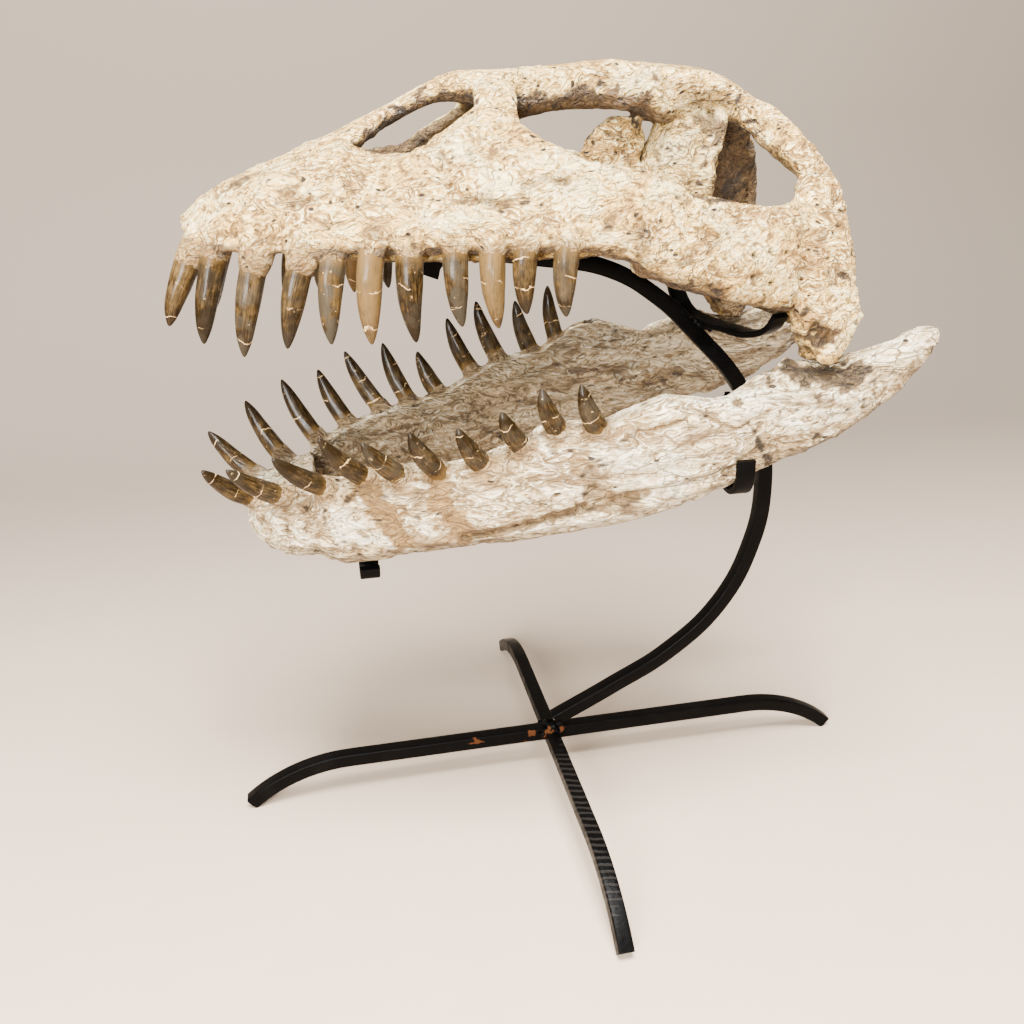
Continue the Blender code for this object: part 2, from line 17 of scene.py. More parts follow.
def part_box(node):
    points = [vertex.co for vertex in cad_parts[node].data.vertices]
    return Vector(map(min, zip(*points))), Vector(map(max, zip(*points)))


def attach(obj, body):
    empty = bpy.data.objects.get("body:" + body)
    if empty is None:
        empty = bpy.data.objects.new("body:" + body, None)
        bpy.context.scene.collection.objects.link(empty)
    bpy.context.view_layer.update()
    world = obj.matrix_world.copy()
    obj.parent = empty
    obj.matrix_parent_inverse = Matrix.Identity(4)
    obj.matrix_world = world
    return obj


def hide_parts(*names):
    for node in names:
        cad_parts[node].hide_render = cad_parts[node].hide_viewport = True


bl_info = {
    "name": "Mounted Plesiosaur Skull",
    "version": (1, 0, 0),
    "blender": (4, 5, 0),
    "location": "3D View > Sidebar > Skull",
    "description": "Carved fossil bone, enamelled teeth, painted iron stand and a plain studio",
    "category": "Object",
}

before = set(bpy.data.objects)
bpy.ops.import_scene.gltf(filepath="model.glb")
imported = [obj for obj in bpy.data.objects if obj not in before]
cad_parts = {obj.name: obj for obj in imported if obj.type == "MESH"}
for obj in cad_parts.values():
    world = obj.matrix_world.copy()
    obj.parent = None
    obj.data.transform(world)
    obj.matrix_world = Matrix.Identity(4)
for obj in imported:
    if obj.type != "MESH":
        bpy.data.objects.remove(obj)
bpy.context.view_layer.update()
MM = 0.001

# ---- names of the frame's nodes -----------------------------------------------------------------
CRANIUM_BONES = (
    "snout", "frontal_bar", "parietal_crest", "palate", "braincase", "sphenoid_plate",
    "cheek_left", "cheek_right", "postorbital_left", "postorbital_right",
    "squamosal_left", "squamosal_right", "quadrate_left", "quadrate_right",
    "paroccipital_left", "paroccipital_right", "pterygoid_left", "pterygoid_right",
    "ectopterygoid_left", "ectopterygoid_right",
)
JAW_BONES = (
    "jaw_chin", "jaw_ramus_left", "jaw_ramus_right", "jaw_articular_left", "jaw_articular_right",
)

# ---- tooth rows, in millimetres from the floor point under the stand's crossing -----------------
# Upper teeth, front to back: place along the jaw, lean of the tip toward the back, length down.
UPPER_TEETH = (
    (-197, -19, 40), (-186, -13, 48), (-166, -13, 53), (-143, -14, 48), (-129, -6, 46),
    (-111, -4, 46), (-93, 0, 45), (-71, 1, 37), (-53, 1, 38), (-37, -1, 31), (-16, -2, 33),
)
# Lower teeth of each side: place along the jaw, lean of the tip toward the back, height.
LOWER_TEETH = {
    "left": (
        (-183, -27, 25), (-165, -31, 24), (-142, -29, 24), (-119, -27, 30), (-101, -23, 24),
        (-82, -17, 26), (-58, -16, 24), (-37, -14, 21), (-18, -12, 25), (4, -13, 26),
    ),
    "right": (
        (-183, -28, 25), (-166, -22, 34), (-144, -21, 37), (-124, -18, 34), (-101, -23, 38),
        (-83, -16, 38), (-62, -14, 27), (-38, -17, 36), (-20, -15, 38), (5, -13, 36), (23, -8, 38),
    ),
}
# Half-width of the two tooth rows along the jaws, and the height of the lower jaw's edge.
UPPER_ROW = ((-206, 14), (-186, 32), (-166, 44), (-143, 52), (-111, 61), (-71, 71), (-37, 77), (0, 80))
LOWER_ROW = ((-188, 12), (-165, 31), (-142, 40), (-101, 57), (-58, 68), (-18, 75), (30, 80))
JAW_EDGE = (
    (-188, 235), (-182, 238), (-165, 243), (-150, 248), (-119, 257), (-82, 264), (-58, 268),
    (-37, 279), (-18, 287), (6, 287.5), (25, 295), (38, 302), (53, 301), (71, 296),
)
# Height of the upper jaw's edge, the radii of the teeth and how deep they are rooted.
TOOTH_LINE_Z = 380.0
UPPER_TOOTH_RADIUS = 6.9
LOWER_TOOTH_RADIUS = 6.0
TOOTH_ROOT = 7.0
# Where a tooth's neck lies, from 0 at the end of its root to 1 at its tip.
NECK = 0.13
# Look of each tooth, front to back: tone (0 honey, 1 dark umber), how grey its enamel is, and how far
# down from its root the bone's collar reaches.
UPPER_LOOKS = (
    (0.66, 0.1, 0.31), (0.98, 0.2, 0.20), (0.76, 0.5, 0.26), (0.84, 0.2, 0.27), (0.58, 0.8, 0.20),
    (0.14, 0.1, 0.15), (0.88, 0.3, 0.15), (0.78, 0.6, 0.14), (0.24, 0.1, 0.15), (0.72, 0.1, 0.16),
    (0.66, 0.5, 0.16),
)
LOWER_LOOKS = (
    (0.88, 0.1, 0.22), (0.86, 0.2, 0.25), (0.98, 0.1, 0.22), (0.95, 0.1, 0.22), (0.84, 0.4, 0.22),
    (0.92, 0.2, 0.21), (0.86, 0.3, 0.22), (0.90, 0.2, 0.24), (0.86, 0.4, 0.23), (0.88, 0.4, 0.22),
    (0.88, 0.1, 0.22),
)

# ---- routes of the stand's bars, in the same millimetres ----------------------------------------
# Sections of the square bars and of the flat straps.
BAR = 9.5
BAR_CORNER = 1.1
STRAP_WIDTH = 11.0
STRAP_THICK = 3.5
STRAP_CORNER = 0.7
# Legs: height of their tops, radius of their bends, height of a foot's middle line, and reach.
LEG_TOP = 33.0
LEG_BEND_RADIUS = 105.0
FOOT_MIDDLE = 2.5
LEG_REACH = {"left": 212.0, "right": 220.0, "front": 176.0, "back": 158.0}
# Middle lines: (x, z) in the middle plane for the mast and the strut, (y, z) at one x for the hooks.
MAST_ROUTE = (
    (3, 38.6), (46, 61), (86, 84), (122, 119), (142, 165), (146, 205), (138, 247), (118, 283),
    (90, 313), (62, 338), (30, 356), (-8, 363.5), (-66, 367.5), (-73, 364), (-76, 356),
)
CRADLE_ROUTE = (
    (109, -66, 339), (107, -61, 331), (103, -48, 325), (98, -28, 323.5), (91, 0, 323.5),
    (88, 12, 325), (86, 23, 331), (84.5, 30, 340), (83.5, 33.5, 350),
)
HOOK_X = 88.5
HOOK_ROUTE = (
    (-84.5, 262), (-84.5, 248), (-80, 242), (-70, 240.5), (-36, 250), (0, 259),
    (36, 250), (70, 240.5), (80, 242), (84.5, 248), (84.5, 262),
)
STRUT_ROUTE = ((120, 271), (92, 265), (0, 232), (-90, 197), (-108, 190.5), (-121, 186))
CHIN_HOOK_X = -121
CHIN_HOOK_WIDTH = 12.5
CHIN_HOOK_ROUTE = ((4, 197), (4, 180), (2.6, 173.5), (-2, 170.8), (-6.5, 172.3), (-9, 179))

# Weld metal, as lumps that run together: x, y, z and radius.
HUB_WELD = (
    (-6, -5.5, 30, 3.0), (-2, -6.5, 32, 2.6), (3, -6.5, 31, 3.0), (7, -5.0, 32, 2.6), (8, 5, 32, 2.8),
    (2, 6.0, 31, 3.0), (-5, 5.5, 31, 2.8), (1, -5.5, 35, 2.4), (6, -4.5, 36.5, 2.6), (6, 4.5, 36.5, 2.6),
    (-3, 0, 34.5, 2.6), (-1.5, 3.5, 34.5, 2.2), (-1.5, -3.5, 34.5, 2.2),
)
CRADLE_WELD = (
    (92, -6.5, 320, 2.2), (95, -6.0, 318, 1.8), (88, -6.0, 321, 2.0), (85, -5.5, 323, 1.6),
    (92, 6.5, 320.5, 2.2), (88, 7, 322, 2.0), (97, -3, 317.5, 1.6), (82, -5.2, 326, 1.2),
    (99, -5.4, 309, 1.1), (108, -5.2, 298, 0.9), (76, -5.2, 329, 0.9), (96, -12, 324.5, 1.1),
    (95, -18, 324.5, 0.9), (103, -5.3, 305, 0.8),
)
STRUT_WELD = (
    (116, -5, 271.5, 2.4), (119, -4.5, 268, 2.0), (116, 5, 271.5, 2.4), (119, 4.5, 268, 2.0),
    (84, -5.5, 262, 2.0), (92, -5.5, 263, 2.0), (84, 5.5, 262, 2.0), (92, 5.5, 263, 2.0),
)
# Marks on the iron, rust and painted highlights along file marks, each as its points, its radius and its
# strength.
RUST = (
    (((-56, -5, 30), (-50, -5, 30)), 2.6, 0.85), (((-15, -5, 30), (-12, -5, 32)), 2.4, 0.85),
    (((-5, -7, 29), (-3, -7, 31)), 3.0, 1.0), (((8, -6, 30), (9, -6, 33)), 2.0, 0.8),
    (((60, -5, 70), (66, -5, 73)), 1.6, 0.6),
)
FILED_GLINT = ((((0, -42, 30), (0, -96, 30), (0, -146, 20)), 12.0, 1.0),)

# ---- carved features, stains and painted shade, in the same millimetres -------------------------
def both_sides(lines):
    """The lines, and their mirror images on the other side of the skull."""
    return (*lines, *(tuple((x, -y, z) for x, y, z in line) for line in lines))


# Lines along which two solids meet in a step that the real bone doesn't show.
CRANIUM_SEAMS = (
    ((96, -18, 442), (100, -14, 452), (100, 14, 452), (96, 18, 442)),
    *both_sides((
        ((-121, -6, 424), (-121, -34, 418), (-121, -54, 402), (-121, -58, 388)),
        ((112, -74, 394), (114, -78, 372), (112, -76, 346)),
        ((-40, -40, 440), (-20, -50, 430)),
        ((118, -72, 340), (145, -74, 340)),
    )),
)
JAW_SEAMS = both_sides((
    ((-150, -46, 240), (-150, -50, 220), (-150, -38, 202), (-150, -20, 205)),
    ((115, -78, 300), (115, -76, 265)),
))
# Lines that are both carved and stained.
CHEEK_RING = ((-76, -47, 422), (-75, -58, 413), (-68, -64, 406), (-60, -67, 403), (-50, -69, 402))
CHEEK_PATCH = ((-36, -69, 410), (-27, -67, 414), (-17, -71, 411))
CHEEK_CRACK = ((50, -76, 404), (60, -77, 402), (70, -76, 402))
TEMPLE_CRACK = ((127, -74, 366), (136, -73, 363), (144, -71, 359))
SNOUT_CREVICE = ((-184, -21, 404), (-178, -18, 409), (-170, -20, 412))
JAW_CRACK = ((82, -80, 295), (88, -80, 285), (98, -78, 270), (107, -74, 254))
# Each carved line: its points, its half-width, and how far it stands out (or is sunk, if negative).
CRANIUM_LINES = (
    # crest: its boss, the swelling in front of it and the hollow behind it
    (((43, -15, 452), (50, -18, 445), (52, -17, 438)), 6.0, 4.5),
    (((38, -12, 443), (30, -10, 444)), 4.0, 2.0),
    (((66, -17, 446), (84, -19, 444), (99, -20, 440), (108, -31, 430)), 6.0, -3.0),
    # braincase: a ridge down its side and the hollow beside it
    (((88, -13, 436), (82, -20, 418), (79, -23, 401)), 3.5, 3.0),
    (((74, -20, 425), (72, -23, 405)), 4.0, -2.0),
    # jaw joint: its hole, its waist and the ridge round the hole
    (((126, -77, 330), (133, -77, 327)), 4.5, -6.0),
    (((119, -68, 323), (127, -68, 311)), 6.0, -4.0),
    (((158, -68, 327), (151, -68, 312)), 6.0, -4.0),
    (((124, -71, 323), (126, -70, 312)), 3.0, -3.0),
    (((133, -77, 330), (136, -76, 318)), 3.0, 2.0),
    # cheek, temple and snout
    (CHEEK_RING, 2.0, -2.4),
    (((-50, -69, 402), (-38, -68, 404), (-30, -66, 410), (-29, -62, 418)), 2.0, -1.4),
    (CHEEK_CRACK, 1.3, -1.6),
    (TEMPLE_CRACK, 1.1, -1.5),
    (((-178, -34, 400), (-160, -47, 396), (-150, -52, 397)), 1.8, -0.9),
    (((-18, -63, 420), (0, -76, 410), (22, -77, 412)), 2.5, 1.2),
    (((20, -84, 392), (60, -83, 384), (100, -80, 378)), 7.0, -1.2),
    (((-108, -20, 422), (-90, -27, 426)), 4.0, 1.5),
    (CHEEK_PATCH, 2.0, -1.6),
    (SNOUT_CREVICE, 2.4, -1.6),
    # swollen sockets of two upper teeth
    (((-167, -45, 382), (-168, -46, 378)), 6.5, 3.0),
    (((-145, -54, 382), (-146, -55, 378)), 6.5, 3.0),
)
JAW_LINES = (
    # sockets of the jaw joint and a lip in front
    (((112, -71, 316), (122, -72, 312), (136, -74, 308), (152, -74, 306)), 7.5, -5.0),
    (((120, 71, 314), (136, 74, 308), (152, 74, 306)), 7.0, -4.5),
    (((112, -70, 318), (118, -66, 318)), 4.0, 2.5),
    # notch in the right edge and trough along the right inner side
    (((42, 77, 309), (43, 76, 305)), 4.5, -6.0),
    (((-40, 52, 250), (20, 60, 268), (77, 62, 276), (120, 56, 290)), 5.0, -2.2),
    # left outer side: a groove low down, mended breaks and a crack
    (((-70, -71, 224), (-35, -78, 232), (-2, -83, 242), (30, -84, 247), (62, -83, 252), (88, -80, 256)),
     2.6, -2.6),
    (((-84, -69, 262), (-81, -71, 245), (-72, -72, 226)), 5.0, -1.5),
    (((-122, -57, 250), (-112, -60, 236), (-104, -62, 222)), 5.0, -1.2),
    (((-6, -82, 270), (-2, -84, 258), (2, -84, 250)), 6.0, -1.6),
    (JAW_CRACK, 1.1, -1.4),
    # inner side of the joint, and the chin below and inside
    (((104, -66, 310), (112, -60, 306)), 4.0, -1.5),
    (((-149, -30, 201), (-149, -44, 205)), 7.0, -3.5),
    (((-149, 30, 201), (-149, 44, 205)), 7.0, -3.5),
    (((-150, -20, 225), (-130, -30, 228)), 8.0, -2.0),
)
# Each stain and each patch of painted shade: its points, its radius and its strength.
CRANIUM_DIRT_AND_SHADE = (
    # painted shade on the braincase, under the crest and in the hollow of the temple
    (((58, -22, 384), (66, -20, 432)), 24.0, 0.35),
    (((-28, -8, 442), (10, -10, 443), (40, -12, 442)), 10.0, 1.0),
    (((98, 2, 414), (100, 6, 396), (112, 30, 405)), 21.0, 1.0),
    (((84, -16, 432), (72, -18, 440)), 6.0, 0.9),
    # brow
    (((-112, -12, 424), (-90, -8, 438), (-72, -8, 446), (-58, -12, 447)), 5.0, 1.0),
    # painted shade under the cheek and the palate, and in the hole of the jaw joint
    (((26, -72, 371), (60, -68, 356)), 9.0, 1.0),
    (((64, -36, 370), (112, -54, 344)), 12.0, 0.9),
    (((126, -75, 330), (133, -75, 327)), 5.5, 1.0),
    # painted shade along the gum line and on the far rim of the eye
    (((-190, -36, 380), (-140, -59, 379), (-60, -75, 379), (0, -82, 378)), 3.0, 0.8),
    (((-100, 34, 418), (-60, 44, 424)), 12.0, 1.0),
    (((-62, -10, 440), (-48, -16, 442)), 7.0, 1.0),
    # cheek, temple and snout
    (CHEEK_RING, 2.4, 0.7),
    (((-50, -69, 402), (-38, -68, 404), (-30, -66, 410)), 1.8, 0.6),
    (CHEEK_CRACK, 2.4, 1.0),
    (TEMPLE_CRACK, 2.2, 1.0),
    (((-12, -70, 386), (20, -84, 384)), 7.0, 0.6),
    (CHEEK_PATCH, 2.2, 0.7),
    (SNOUT_CREVICE, 3.0, 0.8),
    (((-200, -19, 388), (-194, -23, 386)), 3.0, 0.8),
    (((-39, -72, 403), (-36, -72, 403)), 1.8, 1.0),
    (((-46, -71, 403), (-47, -71, 398)), 1.6, 0.7),
)
JAW_DIRT_AND_SHADE = (
    # socket of the jaw joint
    (((108, -71, 316), (120, -73, 311), (136, -75, 305), (156, -75, 304)), 9.0, 1.0),
    # painted shade over the right inner side, and its stained bands
    (((-120, 26, 232), (-38, 50, 250), (60, 58, 284), (120, 54, 290)), 20.0, 0.62),
    (((78, 62, 264), (104, 60, 274)), 5.0, 1.0),
    (((20, 66, 276), (66, 62, 276), (98, 60, 284)), 1.8, 1.0),
    (((-59, 53, 250), (-20, 58, 262), (10, 64, 270)), 2.2, 0.9),
    # painted shade at the rear end and inside the chin; marks on the left outer side and the right edge
    (((211, -62, 311), (204, -60, 306)), 4.0, 0.8),
    (((-3, -84, 262), (0, -84, 252)), 5.0, 0.5),
    (JAW_CRACK, 2.2, 1.0),
    (((-70, -71, 223), (-35, -78, 231), (-2, -83, 241), (30, -84, 246)), 2.8, 0.7),
    (((42, 77, 309), (43, 76, 303)), 5.0, 1.0),
    (((-140, -20, 232), (-120, -34, 236)), 12.0, 1.0),
)
# Old filler in the mended breaks, given as the stains are.
CRANIUM_FILLER = (
    (((-150, -50, 386), (-60, -68, 386), (0, -78, 388)), 5.0, 0.35),
)
JAW_FILLER = (
    (((-122, -57, 252), (-112, -60, 236), (-104, -62, 220)), 7.5, 1.0),
    (((-86, -69, 264), (-82, -71, 246), (-70, -72, 224)), 7.0, 1.0),
    (((-104, -62, 222), (-70, -71, 222)), 6.0, 0.8),
    (((-70, -71, 224), (-35, -78, 232), (-2, -83, 242), (30, -84, 247)), 3.2, 0.9),
    (((-8, -82, 268), (0, -84, 254), (6, -84, 246)), 8.0, 0.8),
    (((20, -82, 288), (34, -82, 280)), 7.0, 0.5),
    (((-160, -44, 238), (-150, -48, 226)), 6.0, 0.5),
)

# ---- small helpers ------------------------------------------------------------------------------
def crossing_point():
    """The floor point under the crossing of the stand's bars, in the frame."""
    leg_low, leg_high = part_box("stand_leg_front")
    bar_low, bar_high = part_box("stand_cross_bar")
    return Vector(((leg_low.x + leg_high.x) / 2, (bar_low.y + bar_high.y) / 2, 0.0))


CROSSING = crossing_point()


def spot(x, y, z):
    """A place given in millimetres from the crossing's floor point, in the frame's metres."""
    return CROSSING + Vector((x, y, z)) * MM


def smooth_value(stations, x):
    """Value at x of a smooth curve through (x, value) stations."""
    stations = sorted(stations)
    xs = [row[0] for row in stations]
    x = min(max(x, xs[0]), xs[-1])
    last = len(xs) - 2
    k = max(i for i in range(last + 1) if xs[i] <= x)

    def slope(i):
        low, high = max(i - 1, 0), min(i + 1, last + 1)
        return (stations[high][1] - stations[low][1]) / (xs[high] - xs[low])

    span = xs[k + 1] - xs[k]
    t = (x - xs[k]) / span
    return (
        (2 * t**3 - 3 * t**2 + 1) * stations[k][1]
        + (t**3 - 2 * t**2 + t) * span * slope(k)
        + (3 * t**2 - 2 * t**3) * stations[k + 1][1]
        + (t**3 - t**2) * span * slope(k + 1)
    )


def new_object(name, data):
    item = bpy.data.objects.new(name, data)
    bpy.context.scene.collection.objects.link(item)
    return item


def deselect():
    bpy.ops.object.select_all(action="DESELECT")


def select_only(*items):
    deselect()
    for item in items:
        item.select_set(True)
    bpy.context.view_layer.objects.active = items[-1]


def edit(item, select="SELECT"):
    """Open the piece for editing, with all of it selected or none."""
    select_only(item)
    bpy.ops.object.mode_set(mode="EDIT")
    bpy.ops.mesh.select_all(action=select)


def leave_edit():
    bpy.ops.object.mode_set(mode="OBJECT")


def face_outwards(item):
    edit(item)
    bpy.ops.mesh.normals_make_consistent(inside=False)
    leave_edit()


def apply_place():
    """Write the place, turn and scale of what is selected into its mesh."""
    bpy.ops.object.transform_apply(location=True, rotation=True, scale=True)


def apply_all(item):
    """Write the piece's modifiers into its mesh."""
    select_only(item)
    for modifier in list(item.modifiers):
        bpy.ops.object.modifier_apply(modifier=modifier.name)


def add_remesh(item, cell):
    """Have the piece rebuilt as one skin, from cells of the given size."""
    remesh = item.modifiers.new("remesh", "REMESH")
    remesh.mode = "VOXEL"
    remesh.voxel_size = cell


def add_smoothing(item, rounds, factor=0.5):
    smoothing = item.modifiers.new("smoothing", "SMOOTH")
    smoothing.iterations = rounds
    smoothing.factor = factor
    return smoothing


def join(items, name):
    """Make one piece of the items and name it."""
    select_only(*items)
    if len(items) > 1:
        bpy.ops.object.join()
    item = bpy.context.view_layer.objects.active
    item.name = name
    item.data.name = name
    return item


def finish_piece(item, nodes=()):
    """Ride the piece on the skull's one body, and let it stand for its nodes."""
    select_only(item)
    apply_place()
    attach(item, "root")
    if nodes:
        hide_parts(*nodes)


def vertex_rows(mesh, name):
    rows = np.empty(len(mesh.vertices) * 3, np.float32)
    mesh.vertices.foreach_get(name, rows)
    return rows.reshape(-1, 3)


def vertex_places(mesh):
    return vertex_rows(mesh, "co")


def vertex_normals(mesh):
    return vertex_rows(mesh, "normal")


def set_places(mesh, places):
    mesh.vertices.foreach_set("co", np.ascontiguousarray(places, np.float32).ravel())
    mesh.update()


def store_mask(mesh, name, values):
    """Keep one value for each vertex, for the materials to read."""
    mask = mesh.attributes.new(name, "FLOAT", "POINT")
    mask.data.foreach_set("value", np.ascontiguousarray(values, np.float32))


def field(places, size, seed=0.0, octaves=1):
    """Solid noise at every place, about -1 to 1; size is that of its features, in millimetres."""
    scaled = (places / (size * MM) + seed).tolist()
    if octaves == 1:
        return np.array([noise.noise(row) for row in scaled], np.float32)
    return np.array([noise.fractal(row, 1.0, 2.0, octaves) for row in scaled], np.float32)


def soft_step(values, low, high):
    """0 below low, 1 above high, and a smooth rise between them."""
    t = np.clip((values - low) / (high - low), 0.0, 1.0)
    return t * t * (3 - 2 * t)


def line_distance(places, points):
    """Distance in millimetres from every place to a line through the given points."""
    nearest = np.full(len(places), np.inf, np.float32)
    corners = [np.array(spot(*point), np.float32) for point in points]
    for start, end in zip(corners, corners[1:]):
        along = end - start
        share = np.clip((places - start) @ along / (along @ along), 0.0, 1.0)
        gap = np.linalg.norm(places - start - share[:, None] * along, axis=1)
        nearest = np.minimum(nearest, gap / MM)
    return nearest


def patch_mask(places, stains):
    """Where the patches of a list lie, soft and ragged-edged: stains, filler, rust, painted shade, painted
    highlight.
    """
    ragged = 1.0 + 0.9 * field(places, 6.0, 9.0, 3)
    mask = np.zeros(len(places), np.float32)
    for points, radius, strength in stains:
        share = 1.0 - soft_step(line_distance(places, points) * ragged, radius * 0.8, radius * 1.2)
        mask = np.maximum(mask, strength * share)
    return mask


# ---- shader building ----------------------------------------------------------------------------
# Sockets of a Mix node that mixes colours.
MIX_SHARE, MIX_FIRST, MIX_SECOND = 0, 6, 7
MIX_RESULT = 2


class Shader:
    """Adds nodes to one material or node group; its methods return the new node's output."""

    def __init__(self, tree):
        self.tree = tree

    def add(self, kind, **settings):
        """A new node of any kind."""
        made = self.tree.nodes.new(kind)
        for name, value in settings.items():
            setattr(made, name, value)
        return made

    def feed(self, socket, value):
        """Link the socket to another node's output, or set it to a plain value."""
        if isinstance(value, bpy.types.NodeSocket):
            self.tree.links.new(value, socket)
        else:
            socket.default_value = value

    def place(self):
        """Where on the piece the surface lies, in metres."""
        return self.add("ShaderNodeTexCoord").outputs["Object"]

    def mask(self, name, output="Fac"):
        """A value that is kept on the mesh."""
        return self.add("ShaderNodeAttribute", attribute_name=name).outputs[output]

    def noise(self, vector, scale, detail=3.0, roughness=0.55):
        made = self.add("ShaderNodeTexNoise")
        self.feed(made.inputs["Vector"], vector)
        self.feed(made.inputs["Scale"], scale)
        self.feed(made.inputs["Detail"], detail)
        self.feed(made.inputs["Roughness"], roughness)
        return made.outputs["Fac"]

    def warp(self, vector, scale, amount):
        """The vector, pushed about by a colour noise of the given scale."""
        made = self.add("ShaderNodeTexNoise")
        self.feed(made.inputs["Vector"], vector)
        self.feed(made.inputs["Scale"], scale)
        centred = self.vector("SUBTRACT", made.outputs["Color"], (0.5, 0.5, 0.5))
        return self.vector("ADD", vector, self.vector("SCALE", centred, scale=amount))

    def cells(self, vector, scale, feature="F1", output="Distance"):
        made = self.add("ShaderNodeTexVoronoi", feature=feature)
        self.feed(made.inputs["Vector"], vector)
        self.feed(made.inputs["Scale"], scale)
        return made.outputs[output]

    def vector(self, operation, a, b=None, scale=None):
        made = self.add("ShaderNodeVectorMath", operation=operation)
        self.feed(made.inputs[0], a)
        if b is not None:
            self.feed(made.inputs[1], b)
        if scale is not None:
            self.feed(made.inputs["Scale"], scale)
        return made.outputs["Value" if operation == "DOT_PRODUCT" else "Vector"]

    def stretch(self, vector, scale):
        made = self.add("ShaderNodeMapping")
        self.feed(made.inputs["Vector"], vector)
        self.feed(made.inputs["Scale"], scale)
        return made.outputs["Vector"]

    def math(self, operation, a, b=0.0):
        made = self.add("ShaderNodeMath", operation=operation)
        self.feed(made.inputs[0], a)
        self.feed(made.inputs[1], b)
        return made.outputs[0]

    def plus(self, a, b):
        return self.math("ADD", a, b)

    def minus(self, a, b):
        return self.math("SUBTRACT", a, b)

    def times(self, a, b):
        return self.math("MULTIPLY", a, b)

    def larger(self, a, b):
        return self.math("MAXIMUM", a, b)

    def swing(self, value, amount):
        """A value of 0 to 1, made to swing about 0 by the given amount in all."""
        return self.times(self.minus(value, 0.5), amount)

    def above(self, value, low, high, start=0.0, end=1.0):
        """A soft step: start below low, end above high."""
        made = self.add("ShaderNodeMapRange", interpolation_type="SMOOTHSTEP")
        self.feed(made.inputs["Value"], value)
        for name, number in (("From Min", low), ("From Max", high), ("To Min", start), ("To Max", end)):
            self.feed(made.inputs[name], number)
        return made.outputs["Result"]

    def below(self, value, low, high):
        """A soft step down: 1 below low, 0 above high."""
        return self.above(value, low, high, 1.0, 0.0)

    def mix(self, share, a, b):
        """Colour a, with a share of it changed to colour b."""
        made = self.add("ShaderNodeMix", data_type="RGBA")
        self.feed(made.inputs[MIX_SHARE], share)
        self.feed(made.inputs[MIX_FIRST], a)
        self.feed(made.inputs[MIX_SECOND], b)
        return made.outputs[MIX_RESULT]

    def bump(self, height, distance, strength):
        made = self.add("ShaderNodeBump")
        self.feed(made.inputs["Height"], height)
        self.feed(made.inputs["Distance"], distance)
        self.feed(made.inputs["Strength"], strength)
        return made.outputs["Normal"]

    def group(self, group, **values):
        """A placed copy of a shared group; returns all its outputs, by name."""
        made = self.add("ShaderNodeGroup")
        made.node_tree = group
        for name, value in values.items():
            self.feed(made.inputs[name.replace("_", " ")], value)
        return made.outputs


def new_group(name, inputs, outputs):
    """An empty shader node group with float or vector sockets; returns its Shader and ends."""
    group = bpy.data.node_groups.new(name, "ShaderNodeTree")
    for label, default in inputs:
        kind = "NodeSocketVector" if isinstance(default, tuple) else "NodeSocketFloat"
        socket = group.interface.new_socket(label, in_out="INPUT", socket_type=kind)
        socket.default_value = default
    for label in outputs:
        group.interface.new_socket(label, in_out="OUTPUT", socket_type="NodeSocketFloat")
    shader = Shader(group)
    return group, shader, shader.add("NodeGroupInput").outputs, shader.add("NodeGroupOutput").inputs


def new_material(name, **settings):
    """A material with a Principled BSDF; returns it, its Shader and the BSDF's inputs."""
    material = bpy.data.materials.new(name)
    material.use_nodes = True
    shader = Shader(material.node_tree)
    principled = material.node_tree.nodes["Principled BSDF"].inputs
    for label, value in settings.items():
        principled[label.replace("_", " ")].default_value = value
    return material, shader, principled


# ---- materials ----------------------------------------------------------------------------------
def fossil_grain_group():
    """Fine surface of weathered bone: fibres, strokes, creases, pits, blotches and flakes, as masks."""
    group, shader, given, out = new_group(
        "fossil_grain",
        (("Vector", (0.0, 0.0, 0.0)), ("Fibre Count", 60.0), ("Pit Share", 0.3)),
        ("Fibre", "Stroke", "Crease", "Pit", "Blotch", "Flake", "Grit"),
    )
    drifted = shader.warp(given["Vector"], 60.0, 0.012)
    curled = shader.warp(drifted, 260.0, 0.0045)
    where = shader.noise(drifted, 52.0, 3.0, 0.6)
    grit = shader.noise(curled, 520.0, 4.0, 0.65)
    frayed = frayed_fibres(shader, curled, grit, given["Fibre Count"])
    groove = shader.times(shader.below(frayed, -1.4, -0.7), shader.below(where, 0.50, 0.62))
    edge = shader.cells(curled, 80.0, "DISTANCE_TO_EDGE")
    crack = shader.times(shader.below(edge, 0.0, 0.035), shader.above(where, 0.52, 0.6))
    clustered = shader.above(shader.noise(given["Vector"], 48.0), 0.41, 0.51)
    large = shader.cells(curled, 105.0, output="Color")
    small = shader.cells(curled, 250.0, output="Color")
    masks = {
        "Fibre": shader.above(frayed, -1.3, 1.3),
        "Stroke": shader.times(shader.above(frayed, 0.4, 1.0), shader.above(where, 0.39, 0.51)),
        "Crease": shader.larger(crack, groove),
        "Pit": shader.times(small_pits(shader, drifted, given["Pit Share"]), clustered),
        "Blotch": shader.above(shader.noise(drifted, 38.0, 5.0, 0.6), 0.40, 0.62),
        "Flake": shader.plus(shader.times(large, 0.6), shader.times(small, 0.4)),
        "Grit": grit,
    }
    for name, value in masks.items():
        shader.feed(out[name], value)
    return group


def frayed_fibres(shader, curled, grit, count):
    """Waves along the contours of a noise, like fibres seen on end, roughened by the grit."""
    swirl = shader.noise(curled, 85.0, 2.0, 0.5)
    fibre = shader.math("SINE", shader.times(swirl, count))
    return shader.plus(fibre, shader.swing(grit, 3.4))


def small_pits(shader, vector, share):
    """A round pit in the given share of small cells."""
    middle = shader.cells(vector, 240.0)
    draw = shader.cells(vector, 240.0, output="Color")
    return shader.times(shader.below(middle, 0.14, 0.25), shader.math("LESS_THAN", draw, share))


def shared_grain():
    return bpy.data.node_groups.get("fossil_grain") or fossil_grain_group()


